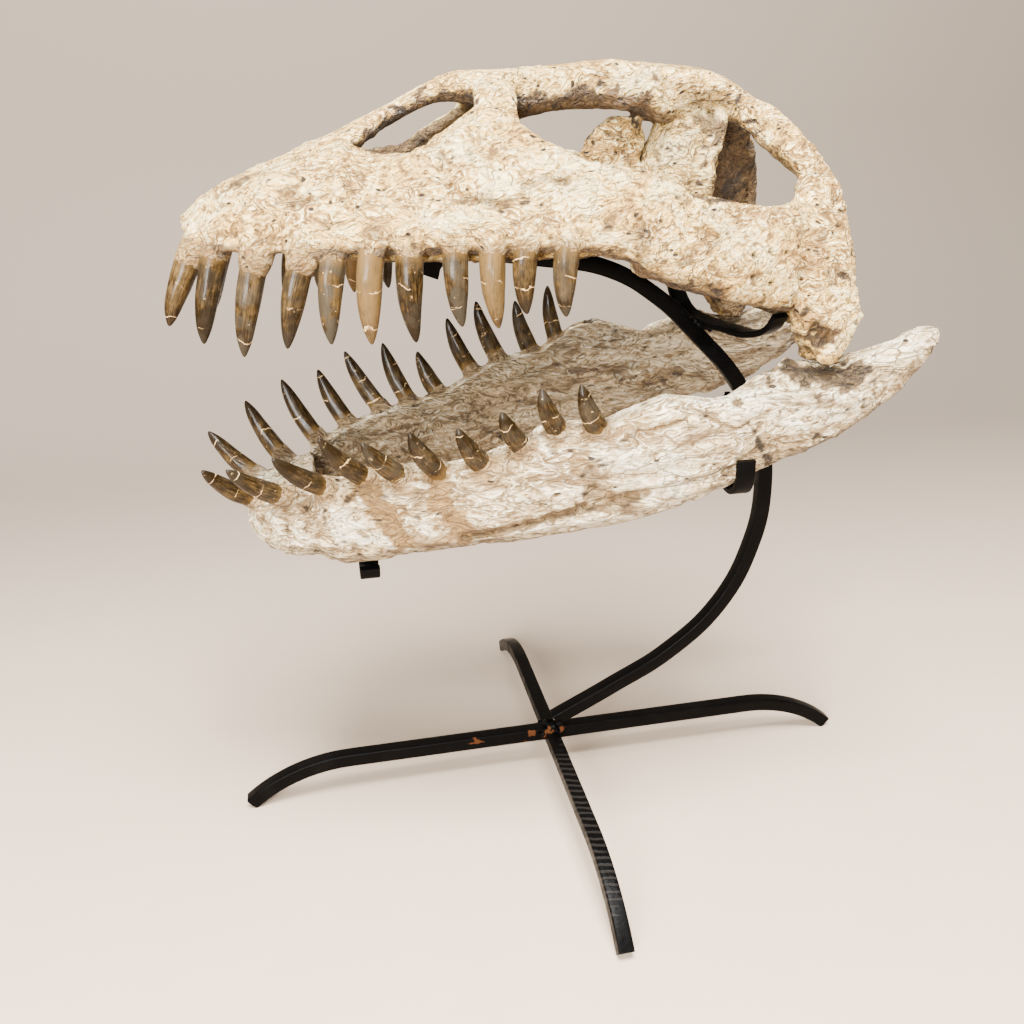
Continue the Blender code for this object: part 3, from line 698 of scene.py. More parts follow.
def bone_tone(shader, relief):
    """How pale the bone is, by its blotches, flakes, grit, ridges and layers."""
    tone = shader.plus(shader.times(relief["Blotch"], 0.45), shader.times(relief["Flake"], 0.45))
    tone = shader.plus(tone, shader.swing(relief["Grit"], 1.35))
    tone = shader.plus(tone, shader.times(shader.mask("relief"), 0.16))
    return shader.plus(tone, shader.swing(shader.mask("layer"), 0.1))


def clean_bone(shader, relief, tone, settings):
    """Colour of the bone before its stains: warm to chalky, with filler and the teeth's collars."""
    body = shader.mix(shader.above(tone, 0.16, 0.46), settings.warm_colour, settings.body_colour)
    body = shader.mix(shader.above(tone, 0.50, 0.76, 0.0, 0.9), body, settings.chalk_colour)
    body = shader.mix(shader.times(relief["Stroke"], 0.95), body, settings.chalk_colour)
    filled = shader.times(shader.mask("filler"), shader.above(relief["Grit"], 0.1, 0.45))
    body = shader.mix(filled, body, settings.filler_colour)
    return shader.mix(shader.times(shader.mask("collar"), 0.8), body, settings.collar_colour)


def crease_stain(shader, relief):
    """Where stain lies: in creases, in hollows and along the edges of the flaked layer."""
    layer = shader.mask("layer")
    flake_edge = shader.times(layer, shader.minus(1.0, layer))
    hollow = shader.below(shader.mask("relief"), -1.0, -0.5)
    stain = shader.larger(relief["Crease"], shader.times(hollow, 0.8))
    return shader.larger(stain, shader.above(flake_edge, 0.05, 0.2, 0.0, 0.6))


def dirt_and_shade_share(shader, settings):
    """Where the bone is painted brown as shade and grime: shut in, under a listed patch, or facing down or
    in.
    """
    shut = shader.above(shader.mask("shelter"), settings.grime_and_shade_start, 0.9)
    hidden = shader.times(shader.mask("hidden"), settings.underside_shade_share)
    return shader.larger(shader.larger(shut, shader.mask("dirt")), hidden)


def bone_height(shader, relief):
    """Relief finer than the carving, for the bump."""
    height = shader.plus(shader.times(relief["Fibre"], 0.6), shader.times(relief["Grit"], 1.3))
    height = shader.plus(height, shader.times(relief["Flake"], 0.35))
    height = shader.minus(height, shader.times(relief["Crease"], 0.7))
    return shader.minus(height, shader.times(relief["Pit"], 1.8))


def bone_material(name, settings):
    """Weathered fossil bone: pale ridges, ochre in creases, umber as painted shade and grime in recesses
    and undersides.
    """
    material, shader, principled = new_material(name, Specular_IOR_Level=0.4)
    along = shader.stretch(shader.place(), (settings.grain_squeeze, 1.0, 1.0))
    relief = shader.group(
        shared_grain(), Vector=along, Pit_Share=settings.pit_share, Fibre_Count=settings.fibre_count)
    tone = bone_tone(shader, relief)
    body = clean_bone(shader, relief, tone, settings)
    stain = shader.times(crease_stain(shader, relief), settings.stain_share)
    body = shader.mix(stain, body, settings.stain_colour)
    # Painted shade, mixed with grime: brown for enclosed places, undersides, inner sides and listed patches
    brown = shader.mix(shader.above(tone, 0.1, 0.75), settings.gloom_colour, settings.dirt_and_shade_colour)
    body = shader.mix(dirt_and_shade_share(shader, settings), body, brown)
    holes = shader.larger(relief["Pit"], shader.mask("hole"))
    shader.feed(principled["Base Color"], shader.mix(holes, body, settings.pit_colour))
    shader.feed(principled["Roughness"], shader.above(relief["Fibre"], 0.0, 1.0, 0.8, 0.55))
    bump = shader.bump(bone_height(shader, relief), settings.bump_depth, 1.0)
    shader.feed(principled["Normal"], bump)
    return material


def enamel_depth(shader, turned, tone, along, mottle):
    """How dark the enamel is: by tooth, toward the tip, in streaks and mottled."""
    streaks = shader.noise(shader.stretch(turned, (1.0, 1.0, 0.35)), 5.5, 4.0, 0.6)
    depth = shader.plus(tone, shader.above(along, 0.5, 1.0, 0.0, 0.4))
    depth = shader.plus(depth, shader.swing(streaks, 1.5))
    return shader.plus(depth, shader.swing(mottle, 1.15))


def mended_breaks(shader, place, tone, along):
    """Thin wandering bands across a tooth, which come and go."""
    wander = shader.swing(shader.noise(place, 110.0), 0.26)
    bands = shader.plus(shader.plus(along, wander), shader.times(tone, 3.7))
    turns = shader.math("FRACT", shader.times(bands, 2.6))
    middle = shader.math("ABSOLUTE", shader.minus(turns, 0.5))
    present = shader.above(shader.noise(place, 95.0), 0.49, 0.60)
    return shader.times(shader.below(middle, 0.003, 0.026), present)


def enamel_material(settings):
    """Glossy fossil enamel: honey to umber by tooth, darker tips, cream bands along mended breaks."""
    material, shader, principled = new_material(
        "tooth_enamel", Coat_Roughness=0.07, Specular_IOR_Level=0.06)
    place = shader.place()
    along, tone, grey = (shader.mask("tooth_" + name) for name in ("height", "tone", "grey"))
    turned = shader.mask("tooth_round", "Vector")
    mottle = shader.noise(place, 210.0, 4.0, 0.65)
    depth = enamel_depth(shader, turned, tone, along, mottle)
    body = shader.mix(shader.above(depth, 0.0, 1.15), settings.honey_colour, settings.umber_colour)
    greyed = shader.times(grey, shader.above(shader.noise(place, 110.0), 0.42, 0.56))
    body = shader.mix(greyed, body, settings.grey_colour)
    root = shader.below(shader.plus(along, shader.times(mottle, 0.16)), 0.12, 0.34)
    body = shader.mix(shader.times(root, 0.8), body, settings.root_colour)
    breaks = mended_breaks(shader, place, tone, along)
    body = shader.mix(breaks, body, settings.break_colour)
    chips = shader.above(shader.noise(place, 300.0), 0.68, 0.72)
    body = shader.mix(shader.times(chips, grey), body, settings.break_colour)
    shader.feed(principled["Base Color"], body)
    shader.feed(principled["Roughness"], shader.above(mottle, 0.3, 0.8, 0.16, 0.42))
    shader.feed(principled["Coat Weight"], shader.above(along, 0.15, 0.3, 0.0, 0.12))
    flutes = shader.noise(shader.stretch(turned, (1.0, 1.0, 0.05)), 9.0, 2.0)
    height = shader.minus(flutes, shader.times(breaks, 0.5))
    height = shader.plus(height, shader.times(mottle, 0.35))
    shader.feed(principled["Normal"], shader.bump(height, 0.0005, 0.45))
    return material


def filed_glint_strokes(shader, place):
    """Close slanting file marks, where the bar carries painted highlights."""
    slant = shader.vector("DOT_PRODUCT", place, (0.25, 1.0, 0.9))
    slant = shader.plus(slant, shader.times(shader.noise(place, 60.0), 0.006))
    strokes = shader.above(shader.math("SINE", shader.times(slant, 1150.0)), 0.1, 0.7)
    return shader.times(strokes, shader.mask("filed"))


def iron_material(settings):
    """Satin black paint over iron bar: brushed unevenly, dusty, painted highlights on file marks, rust
    where chipped.
    """
    material, shader, principled = new_material("painted_iron", IOR=1.11)
    place = shader.place()
    dust = shader.above(shader.noise(place, 45.0, 5.0, 0.65), 0.5, 0.75)
    body = shader.mix(shader.times(dust, 0.4), settings.paint_colour, settings.dust_colour)
    # Painted highlights along the file marks on the front leg
    filed = filed_glint_strokes(shader, place)
    body = shader.mix(shader.times(filed, 0.8), body, settings.glint_colour)
    ragged = shader.swing(shader.noise(place, 300.0, 4.0, 0.6), 1.4)
    rusted = shader.above(shader.plus(shader.mask("rust"), ragged), 0.55, 0.75)
    shader.feed(principled["Base Color"], shader.mix(rusted, body, settings.rust_colour))
    gloss = shader.above(shader.noise(place, 90.0, 4.0), 0.3, 0.7, 0.28, 0.48)
    shader.feed(principled["Roughness"], shader.plus(gloss, shader.times(rusted, 0.4)))
    height = shader.minus(shader.noise(place, 380.0, 4.0), shader.times(filed, 0.5))
    shader.feed(principled["Normal"], shader.bump(height, 0.0005, 0.4))
    return material


def paper_material(settings):
    """Studio paper, painted darker up the wall behind the stand than on the floor, as shade."""
    material, shader, principled = new_material("paper", Roughness=0.85, Specular_IOR_Level=0.2)
    place = shader.place()
    depth = shader.vector("DOT_PRODUCT", place, (0.0, 1.0, 0.0))
    # Painted shade: the wall is given a darker colour than the floor paper
    paper = shader.mix(shader.above(depth, -0.5, 0.75), settings.floor_colour, settings.wall_shade_colour)
    mottle = shader.above(shader.noise(place, 14.0, 4.0), 0.2, 0.8, 0.0, 0.06)
    shader.feed(principled["Base Color"], shader.mix(mottle, paper, settings.wall_shade_colour))
    shader.feed(principled["Normal"], shader.bump(shader.noise(place, 500.0), 0.0002, 0.3))
    return material


# ---- where the teeth stand ----------------------------------------------------------------------
# A tooth: a function that gives its middle line, its radius, and its look as listed above.
Tooth = namedtuple("Tooth", "axis radius tone grey collar")

# Girth of a tooth from root to tip, as a share of its radius: as its solid in the frame has it, and
# as it is turned here, with a rounder tip.
SOLID_GIRTH = ((0.0, 0.95), (0.3, 1.0), (0.62, 0.78), (0.86, 0.42), (1.0, 0.09))
TURNED_GIRTH = ((0.0, 0.88), (0.25, 0.95), (0.55, 0.86), (0.80, 0.60), (0.93, 0.34), (1.0, 0.10))
FULL_LENGTH = 48.0


def tooth_axis(base, tip, bow):
    """Function that gives the middle of a tooth at t, from its root in the bone to its tip."""
    base, tip, bow = Vector(base), Vector(tip), Vector(bow)
    root = base - (tip - base).normalized() * TOOTH_ROOT
    return lambda t: root.lerp(tip, t) + bow * 4 * t * (1 - t)


def upper_tooth(row, side):
    """Middle line and radius of an upper tooth; side is -1 on the left and 1 on the right."""
    x, lean, length = row
    half_width = smooth_value(UPPER_ROW, x)
    splay = 4.0 + 4.0 * (-x / 200.0)
    base_z = TOOTH_LINE_Z + 1.0
    tip = (x + lean, side * (half_width + splay), base_z - length)
    radius = UPPER_TOOTH_RADIUS * (0.75 + 0.25 * min(length, FULL_LENGTH) / FULL_LENGTH)
    return tooth_axis((x, side * half_width, base_z), tip, (-2.0, side * 1.5, 0.0)), radius


def lower_tooth(row, side):
    """Middle line and radius of a lower tooth; side is -1 on the left and 1 on the right."""
    x, lean, height = row
    half_width = smooth_value(LOWER_ROW, x)
    splay = 5.0 + 12.0 * max(0.0, -x / 185.0)
    base_z = smooth_value(JAW_EDGE, x) - 1.0
    tip = (x + lean, side * (half_width + splay), base_z + height)
    return tooth_axis((x, side * half_width, base_z), tip, (-2.0, side * 2.0, -1.5)), LOWER_TOOTH_RADIUS


def tooth_rows():
    """The teeth of the four rows, by name."""
    rows = {}
    for key, side in (("left", -1), ("right", 1)):
        rows["upper_" + key] = [
            Tooth(*upper_tooth(row, side), *look) for row, look in zip(UPPER_TEETH, UPPER_LOOKS)
        ]
        rows["lower_" + key] = [
            Tooth(*lower_tooth(row, side), *look) for row, look in zip(LOWER_TEETH[key], LOWER_LOOKS)
        ]
    return rows


TOOTH_ROWS = tooth_rows()


def solid_girth(t):
    """Girth at t of a tooth's solid, which is straight between its sections."""
    for (low, a), (high, b) in zip(SOLID_GIRTH, SOLID_GIRTH[1:]):
        if t <= high:
            return a + (b - a) * (t - low) / (high - low)
    return SOLID_GIRTH[-1][1]


# ---- carving the bones --------------------------------------------------------------------------
# What is carved into one block of bones, and what is painted on it.
Features = namedtuple("Features", "seams lines dirt filler")
CRANIUM_FEATURES = Features(CRANIUM_SEAMS, CRANIUM_LINES, CRANIUM_DIRT_AND_SHADE, CRANIUM_FILLER)
JAW_FEATURES = Features(JAW_SEAMS, JAW_LINES, JAW_DIRT_AND_SHADE, JAW_FILLER)

# Points tried along a tooth to find its vertices, and how far past its girth they may lie.
AXIS_STEPS = 40
AXIS_CLEARANCE = 1.06
# How far a collar stands out at its root and at its end, in millimetres.
COLLAR_RISE = 0.8
COLLAR_SKIN = 0.35
COLLAR_STEPS = 4
# A seam melts fully out to its core and not at all past its edge, in millimetres.
SEAM_CORE = 5.0
SEAM_EDGE = 14.0
SEAM_LEVELS = (0.25, 0.5, 0.75, 1.0)
SEAM_ROUNDS = 120
# Sizes of the relief's features, in millimetres.
DRIFT_SIZE = 13.0
LUMP_SIZE = 26.0
KNOT_SIZE = 7.5
LAYER_SIZE = 15.0
STRAND_SIZE = 14.0
PIT_CLUSTER_SIZE = 20.0
# In metres: how far the relief swirls, and the cells that hold one pit each.
DRIFT = 0.006
PIT_CELL = 0.0055
# Rays for the painted shade and grime of enclosed bone: cells of the copy, start off its skin and reach, in
# metres.
OCCLUSION_CELL = 0.0036
OCCLUSION_START = 0.002
OCCLUSION_REACH = 0.055
OCCLUSION_RAYS = 28
# In metres: vertices this near are one, and a face lies at most this far outside its bone's box.
MERGE_GAP = 1e-5
BOX_MARGIN = 0.006
# Patches of fewer faces than this go to the bone around them.
SMALLEST_PATCH = 300
# Number that settles how the sutures wander.
SUTURE_SEED = 1


def tooth_index(place, teeth):
    """Which of the teeth a vertex of a solid lies on, or None."""
    for index, tooth in enumerate(teeth):
        for step in range(AXIS_STEPS + 1):
            t = step / AXIS_STEPS
            reach = tooth.radius * solid_girth(t) * MM * AXIS_CLEARANCE
            if (spot(*tooth.axis(t)) - place).length < reach:
                return index
    return None


def bone_stock(node, teeth):
    """A merged copy of a bone's solid, with its teeth taken off and their holes closed."""
    item = new_object("stock_" + node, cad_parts[node].data.copy())
    edit(item)
    bpy.ops.mesh.remove_doubles(threshold=MERGE_GAP)
    leave_edit()
    owner = [tooth_index(vertex.co, teeth) for vertex in item.data.vertices]
    edit(item, "DESELECT")
    bpy.ops.mesh.select_mode(type="FACE")
    leave_edit()
    for face in item.data.polygons:
        owners = {owner[v] for v in face.vertices}
        face.select = len(owners) == 1 and None not in owners
    bpy.ops.object.mode_set(mode="EDIT")
    bpy.ops.mesh.delete(type="FACE")
    bpy.ops.mesh.select_all(action="SELECT")
    bpy.ops.mesh.fill_holes(sides=0)
    leave_edit()
    face_outwards(item)
    return item


def tooth_collars(teeth):
    """Lumps of bone round the roots of the teeth, which taper toward the collars' ends."""
    lumps = []
    for tooth in teeth:
        for step in range(COLLAR_STEPS + 1):
            t = tooth.collar * (0.15 + 0.85 * step / COLLAR_STEPS)
            rise = COLLAR_RISE * (1 - (t / tooth.collar) ** 2) + COLLAR_SKIN
            radius = tooth.radius * solid_girth(t) + rise
            deselect()
            bpy.ops.mesh.primitive_ico_sphere_add(
                subdivisions=2, radius=radius * MM, location=spot(*tooth.axis(t)))
            lumps.append(bpy.context.object)
    collars = join(lumps, "collars")
    apply_place()
    return collars


def rough_block(name, nodes, teeth, settings):
    """One skin over the bones' solids and the collars, a little swollen and softened."""
    stocks = [bone_stock(node, teeth) for node in nodes]
    block = join(stocks + [tooth_collars(teeth)], name)
    swell = block.modifiers.new("swell", "DISPLACE")
    swell.strength = settings.swell
    swell.mid_level = 0.0
    add_remesh(block, settings.voxel)
    add_smoothing(block, settings.softening)
    apply_all(block)
    return block


def melt_seams(item, seams):
    """Smooth the steps where two solids meet, along the given lines."""
    places = vertex_places(item.data)
    nearest = np.min([line_distance(places, points) for points in seams], axis=0)
    share = 1.0 - soft_step(nearest, SEAM_CORE, SEAM_EDGE)
    group = item.vertex_groups.new(name="seam")
    low = 0.0
    for level in SEAM_LEVELS:
        chosen = np.flatnonzero((share > low) & (share <= level))
        group.add(chosen.tolist(), level, "REPLACE")
        low = level
    melt = add_smoothing(item, SEAM_ROUNDS, 0.7)
    melt.vertex_group = group.name
    apply_all(item)
    item.vertex_groups.clear()


def carve_lines(item, lines):
    """Raise and sink the listed features along the surface's normals, one after another."""
    places = vertex_places(item.data)
    normals = vertex_normals(item.data)
    wander = 1.0 + 0.45 * field(places, 7.0, 3.0)
    for points, half_width, depth in lines:
        share = np.exp(-(line_distance(places, points) / (half_width * wander)) ** 2)
        places += normals * (share * depth * MM)[:, None]
    set_places(item.data, places)


def underside_shade_mask(places, normals):
    """Where the bone faces down, or in towards the middle of the skull, and so takes painted shade."""
    from_middle = (places[:, 1] - CROSSING.y) / MM
    inward = -np.sign(from_middle) * normals[:, 1]
    inward = soft_step(inward, 0.1, 0.6) * soft_step(np.abs(from_middle), 6.0, 14.0)
    return np.maximum(inward, soft_step(-normals[:, 2], 0.2, 0.75))


def collar_mask(places, teeth):
    """Where the bone closes round the necks of the teeth."""
    mask = np.zeros(len(places), np.float32)
    for tooth in teeth:
        neck, end = tooth.axis(NECK), tooth.axis(tooth.collar)
        heading = np.array((end - neck).normalized(), np.float32)
        along = (places - np.array(spot(*neck), np.float32)) @ heading / MM
        near = 1.0 - soft_step(line_distance(places, [neck, end]), 8.0, 12.0)
        mask = np.maximum(mask, near * soft_step(along, -5.0, 2.0))
    return mask


def round_pits(places, drawn):
    """Pits in clusters: 1 at the middle of a pit, 0 round it."""
    clusters = soft_step(field(places, PIT_CLUSTER_SIZE, 47.0), -0.1, 0.25)
    cells = np.array([noise.voronoi(row)[0][0] for row in (drawn / PIT_CELL).tolist()], np.float32)
    return (1.0 - soft_step(cells, 0.10, 0.30)) * clusters


def weather(item, settings, collars):
    """Work lumps, knots, flaked layers, strands and pits into the surface, and keep their masks.

    The bone stays calmer close round the teeth, where collars is 1, and along its smoother top.
    """
    places = vertex_places(item.data)
    drawn = places / np.array((settings.carved_length, 1.0, 1.0), np.float32)
    drift = np.stack([field(drawn, DRIFT_SIZE, seed) for seed in (11.0, 23.0, 37.0)], 1)
    swirled = drawn + drift * DRIFT
    lumps = field(drawn, LUMP_SIZE, 5.0)
    knots = field(swirled, KNOT_SIZE, 17.0, 3)
    layer = soft_step(field(swirled, LAYER_SIZE, 29.0, 3), -0.02, 0.03)
    strands = np.sin(field(swirled, STRAND_SIZE, 41.0, 2) * settings.strand_count)
    pits = round_pits(places, drawn)
    smooth_top = soft_step(places[:, 2] / MM, settings.smooth_above - 12.0, settings.smooth_above + 6.0)
    calm = (1.0 - 0.7 * collars) * (1.0 - 0.55 * smooth_top)
    height = calm * (
        lumps * settings.lump_depth + knots * settings.knot_depth + layer * settings.layer_depth
        + strands * settings.strand_depth - pits * settings.pit_depth
    )
    set_places(item.data, places + vertex_normals(item.data) * height[:, None])
    store_mask(item.data, "relief", calm * (0.55 * strands + 1.1 * knots))
    store_mask(item.data, "layer", layer)
    store_mask(item.data, "hole", calm * pits)


def dome_directions(count):
    """Directions spread evenly over a half sphere round +Z."""
    golden = math.pi * (3 - math.sqrt(5))
    directions = []
    for i in range(count):
        height = 1 - (i + 0.5) / count
        ring = math.sqrt(1 - height * height)
        directions.append(Vector((ring * math.cos(golden * i), ring * math.sin(golden * i), height)))
    return directions


def enclosure(coarse):
    """How shut in each vertex of the coarse copy is, felt with rays cast out from it."""
    tree = BVHTree.FromObject(coarse, bpy.context.evaluated_depsgraph_get())
    directions = dome_directions(OCCLUSION_RAYS)
    values = []
    for vertex in coarse.data.vertices:
        turn = vertex.normal.to_track_quat("Z", "Y").to_matrix()
        start = vertex.co + vertex.normal * OCCLUSION_START
        hits = [tree.ray_cast(start, turn @ direction, OCCLUSION_REACH)[3] for direction in directions]
        near = sum(1.3 - hit / OCCLUSION_REACH for hit in hits if hit is not None)
        values.append(near / OCCLUSION_RAYS)
    return values


def grime_and_shade_mask(item):
    """How enclosed each vertex is, 0 open to 1 shut in, taken over from a coarse copy, for painted shade
    and grime.
    """
    coarse = new_object("coarse", item.data.copy())
    add_remesh(coarse, OCCLUSION_CELL)
    apply_all(coarse)
    mesh = coarse.data
    values = enclosure(coarse)
    lookup = KDTree(len(mesh.vertices))
    for vertex in mesh.vertices:
        lookup.insert(vertex.co, vertex.index)
    lookup.balance()
    mask = np.empty(len(item.data.vertices), np.float32)
    for vertex in item.data.vertices:
        near = lookup.find_n(vertex.co, 4)
        weights = [1 / (distance + 0.001) for _, _, distance in near]
        mask[vertex.index] = sum(w * values[i] for w, (_, i, _) in zip(weights, near)) / sum(weights)
    bpy.data.objects.remove(coarse)
    bpy.data.meshes.remove(mesh)
    return mask


def wandered(place):
    """The place pushed about a little, so that the sutures between bones wander."""
    broad = noise.noise_vector(place * 90.0) * 0.0035
    fine = noise.noise_vector(place * 300.0) * 0.001
    return place + broad + fine


def bone_of_face(item, nodes):
    """For every face, the number of the bone whose solid lies nearest to it."""
    solids = [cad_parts[node].data for node in nodes]
    trees = [
        BVHTree.FromPolygons([v.co for v in mesh.vertices], [p.vertices for p in mesh.polygons])
        for mesh in solids
    ]
    boxes = [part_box(node) for node in nodes]
    labels = np.zeros(len(item.data.polygons), np.int32)
    noise.seed_set(SUTURE_SEED)
    for face in item.data.polygons:
        place = wandered(face.center)
        best, best_distance = 0, 1.0
        for number, (tree, (low, high)) in enumerate(zip(trees, boxes)):
            if any(place[k] < low[k] - BOX_MARGIN or place[k] > high[k] + BOX_MARGIN for k in range(3)):
                continue
            distance = tree.find_nearest(place)[3]
            if distance < best_distance:
                best, best_distance = number, distance
        labels[face.index] = best
    return labels


def grow_patch(start, labels, corners, beside, seen):
    """The faces that join the first one and have its label, and how often each label borders them."""
    patch, queue, border = [start], [start], {}
    seen[start] = True
    while queue:
        for key in corners[queue.pop()]:
            for other in beside[key]:
                if labels[other] != labels[start]:
                    border[labels[other]] = border.get(labels[other], 0) + 1
                elif not seen[other]:
                    seen[other] = True
                    patch.append(other)
                    queue.append(other)
    return patch, border


def merge_islands(mesh, labels):
    """Give every small patch of faces to the bone around it, so that each bone is one patch."""
    beside = {}
    corners = [tuple(p.edge_keys) for p in mesh.polygons]
    for face, keys in enumerate(corners):
        for key in keys:
            beside.setdefault(key, []).append(face)
    seen = np.zeros(len(labels), bool)
    for start in range(len(labels)):
        if seen[start]:
            continue
        patch, border = grow_patch(start, labels, corners, beside, seen)
        if len(patch) < SMALLEST_PATCH and border:
            labels[patch] = max(border, key=border.get)


def press_sutures(mesh, labels, depth):
    """Sink the vertices where two bones meet, which leaves a fine wandering suture."""
    first = {}
    seam = set()
    for face in mesh.polygons:
        label = labels[face.index]
        for vertex in face.vertices:
            if first.setdefault(vertex, label) != label:
                seam.add(vertex)
    places = vertex_places(mesh)
    seam = np.fromiter(seam, np.int64)
    places[seam] -= vertex_normals(mesh)[seam] * depth
    set_places(mesh, places)


def part_by_label(item, labels, names):
    """Part the block into pieces by its faces' labels; returns each piece with its name."""
    item.data.materials.clear()
    for name in names:
        item.data.materials.append(bpy.data.materials.new("part_" + name))
    item.data.polygons.foreach_set("material_index", labels)
    edit(item)
    bpy.ops.mesh.separate(type="MATERIAL")
    leave_edit()
    parts = []
    for piece in list(bpy.context.selected_objects):
        marker = piece.data.materials[piece.data.polygons[0].material_index]
        parts.append((piece, marker.name[len("part_"):]))
        piece.data.materials.clear()
        piece.data.polygons.foreach_set("material_index", np.zeros(len(piece.data.polygons), np.int32))
    for marker in [m for m in bpy.data.materials if m.name.startswith("part_")]:
        bpy.data.materials.remove(marker)
    return parts


def close_cuts(piece):
    """Fill the open rims left by parting, with flat faces and sharp rims."""
    shape = bmesh.new()
    shape.from_mesh(piece.data)
    for face in shape.faces:
        face.smooth = True
    rims = [edge for edge in shape.edges if edge.is_boundary]
    for edge in rims:
        edge.smooth = False
    bmesh.ops.edgeloop_fill(shape, edges=rims)
    shape.to_mesh(piece.data)
    shape.free()


def carve_bones(name, nodes, teeth, material, settings, features):
    """Carve and weather one block of bones, part it again into its bones and finish them."""
    block = rough_block(name, nodes, teeth, settings)
    melt_seams(block, features.seams)
    carve_lines(block, features.lines)
    places = vertex_places(block.data)
    # Painted shade on the undersides and inner sides
    store_mask(block.data, "hidden", underside_shade_mask(places, vertex_normals(block.data)))
    weather(block, settings, collar_mask(places, teeth))
    places = vertex_places(block.data)
    # Stains and painted shade from the lists
    store_mask(block.data, "dirt", patch_mask(places, features.dirt))
    store_mask(block.data, "filler", patch_mask(places, features.filler))
    store_mask(block.data, "collar", collar_mask(places, teeth))
    # Painted shade and grime in enclosed places
    store_mask(block.data, "shelter", grime_and_shade_mask(block))
    labels = bone_of_face(block, nodes)
    merge_islands(block.data, labels)
    press_sutures(block.data, labels, settings.suture_depth)
    for piece, node in part_by_label(block, labels, nodes):
        piece.name = "bone_" + node
        piece.data.name = piece.name
        piece.data.materials.append(material)
        close_cuts(piece)
        finish_piece(piece, [node])


# ---- teeth --------------------------------------------------------------------------------------
TOOTH_SIDES = 24
TOOTH_RINGS = 14
TIP_GIRTH = 0.10
# Turned teeth stand a little proud of their solids, in millimetres.
TOOTH_SKIN = 0.3
# Steps along a tooth's length over which its heading is measured.
HEADING_STEP = 0.02
# The part of a collar that hides the tooth, and so is left out of its height.
COLLAR_OVERLAP = 0.6


def tooth_blank():
    """One tooth of unit radius and unit height, turned from a disc and drawn up ring by ring."""
    girth = TURNED_GIRTH[0][1]
    deselect()
    bpy.ops.mesh.primitive_circle_add(vertices=TOOTH_SIDES, radius=girth, fill_type="NGON")
    blank = bpy.context.object
    blank.name = "tooth_blank"
    edit(blank)
    for step in range(1, TOOTH_RINGS + 1):
        wanted = max(smooth_value(TURNED_GIRTH, step / TOOTH_RINGS), TIP_GIRTH)
        bpy.ops.mesh.extrude_region_move(TRANSFORM_OT_translate={"value": (0, 0, 1 / TOOTH_RINGS)})
        bpy.ops.transform.resize(value=(wanted / girth, wanted / girth, 1.0), center_override=(0, 0, 1))
        girth = wanted
    leave_edit()
    face_outwards(blank)
    rounding = blank.modifiers.new("rounding", "SUBSURF")
    rounding.levels = rounding.render_levels = 1
    apply_all(blank)
    return blank


def bent_places(rounds, number, tooth):
    """The blank's places once it is bent along the tooth's middle line and made a little uneven."""
    unevenness = 1.0 + 0.10 * field(rounds * (0.006, 0.006, 0.012), 4.0, number * 7.3)
    bent = np.empty_like(rounds)
    for index, (x, y, z) in enumerate(rounds.tolist()):
        t = min(max(z, 0.0), 1.0)
        ahead, behind = min(t + HEADING_STEP, 1.0), max(t - HEADING_STEP, 0.0)
        heading = (tooth.axis(ahead) - tooth.axis(behind)).normalized()
        side = heading.cross(Vector((0, 1, 0))).normalized()
        other = side.cross(heading).normalized()
        reach = (tooth.radius + TOOTH_SKIN) * float(unevenness[index])
        bent[index] = spot(*(tooth.axis(t) + (side * x + other * y) * reach))
    return bent


def set_tooth(blank, number, tooth):
    """A copy of the blank, set in its socket, with the masks that give it its look."""
    item = new_object("tooth", blank.data.copy())
    rounds = vertex_places(item.data)
    set_places(item.data, bent_places(rounds, number, tooth))
    heights = np.clip(rounds[:, 2], 0.0, 1.0)
    gum = tooth.collar * COLLAR_OVERLAP
    store_mask(item.data, "tooth_height", np.clip((heights - gum) / (1 - gum), 0, 1))
    store_mask(item.data, "tooth_tone", np.full(len(rounds), tooth.tone))
    store_mask(item.data, "tooth_grey", np.full(len(rounds), tooth.grey))
    girths = np.maximum(np.linalg.norm(rounds[:, :2], axis=1, keepdims=True), 1e-4)
    turned = np.hstack([rounds[:, :2] / girths, heights[:, None] * 4.0]) + number * 5.0
    attribute = item.data.attributes.new("tooth_round", "FLOAT_VECTOR", "POINT")
    attribute.data.foreach_set("vector", turned.astype(np.float32).ravel())
    return item


def set_row(name, blank, teeth, material):
    """One row of teeth, as one piece."""
    row = join([set_tooth(blank, number, tooth) for number, tooth in enumerate(teeth)], name)
    face_outwards(row)
    bpy.ops.object.shade_smooth()
    row.data.materials.append(material)
    return row


# ---- stand --------------------------------------------------------------------------------------
CORNER_STEPS = 3
LEG_BEND_STEPS = 8
# Level run before a leg's bend, and gap between a leg and the cross bar, in millimetres.
LEG_STRAIGHT = 8.0
WELD_GAP = 0.3
BAR_CUTS = 2
# In metres.
WELD_CELL = 0.0005
WELD_RIPPLE = 0.0006


def bar_profile(width, height, corner):
    """A closed flat curve: a rectangle with rounded corners."""
    data = bpy.data.curves.new("profile", "CURVE")
    data.dimensions = "2D"
    spline = data.splines.new("POLY")
    points = []
    for sx, sy, first in ((1, 1, 0), (-1, 1, 90), (-1, -1, 180), (1, -1, 270)):
        for step in range(CORNER_STEPS + 1):
            angle = math.radians(first + 90 * step / CORNER_STEPS)
            x = sx * (width / 2 - corner) + corner * math.cos(angle)
            y = sy * (height / 2 - corner) + corner * math.sin(angle)
            points.append((x, y))
    spline.points.add(len(points) - 1)
    for point, (x, y) in zip(spline.points, points):
        point.co = (x * MM, y * MM, 0.0, 1.0)
    spline.use_cyclic_u = True
    return new_object("profile", data)


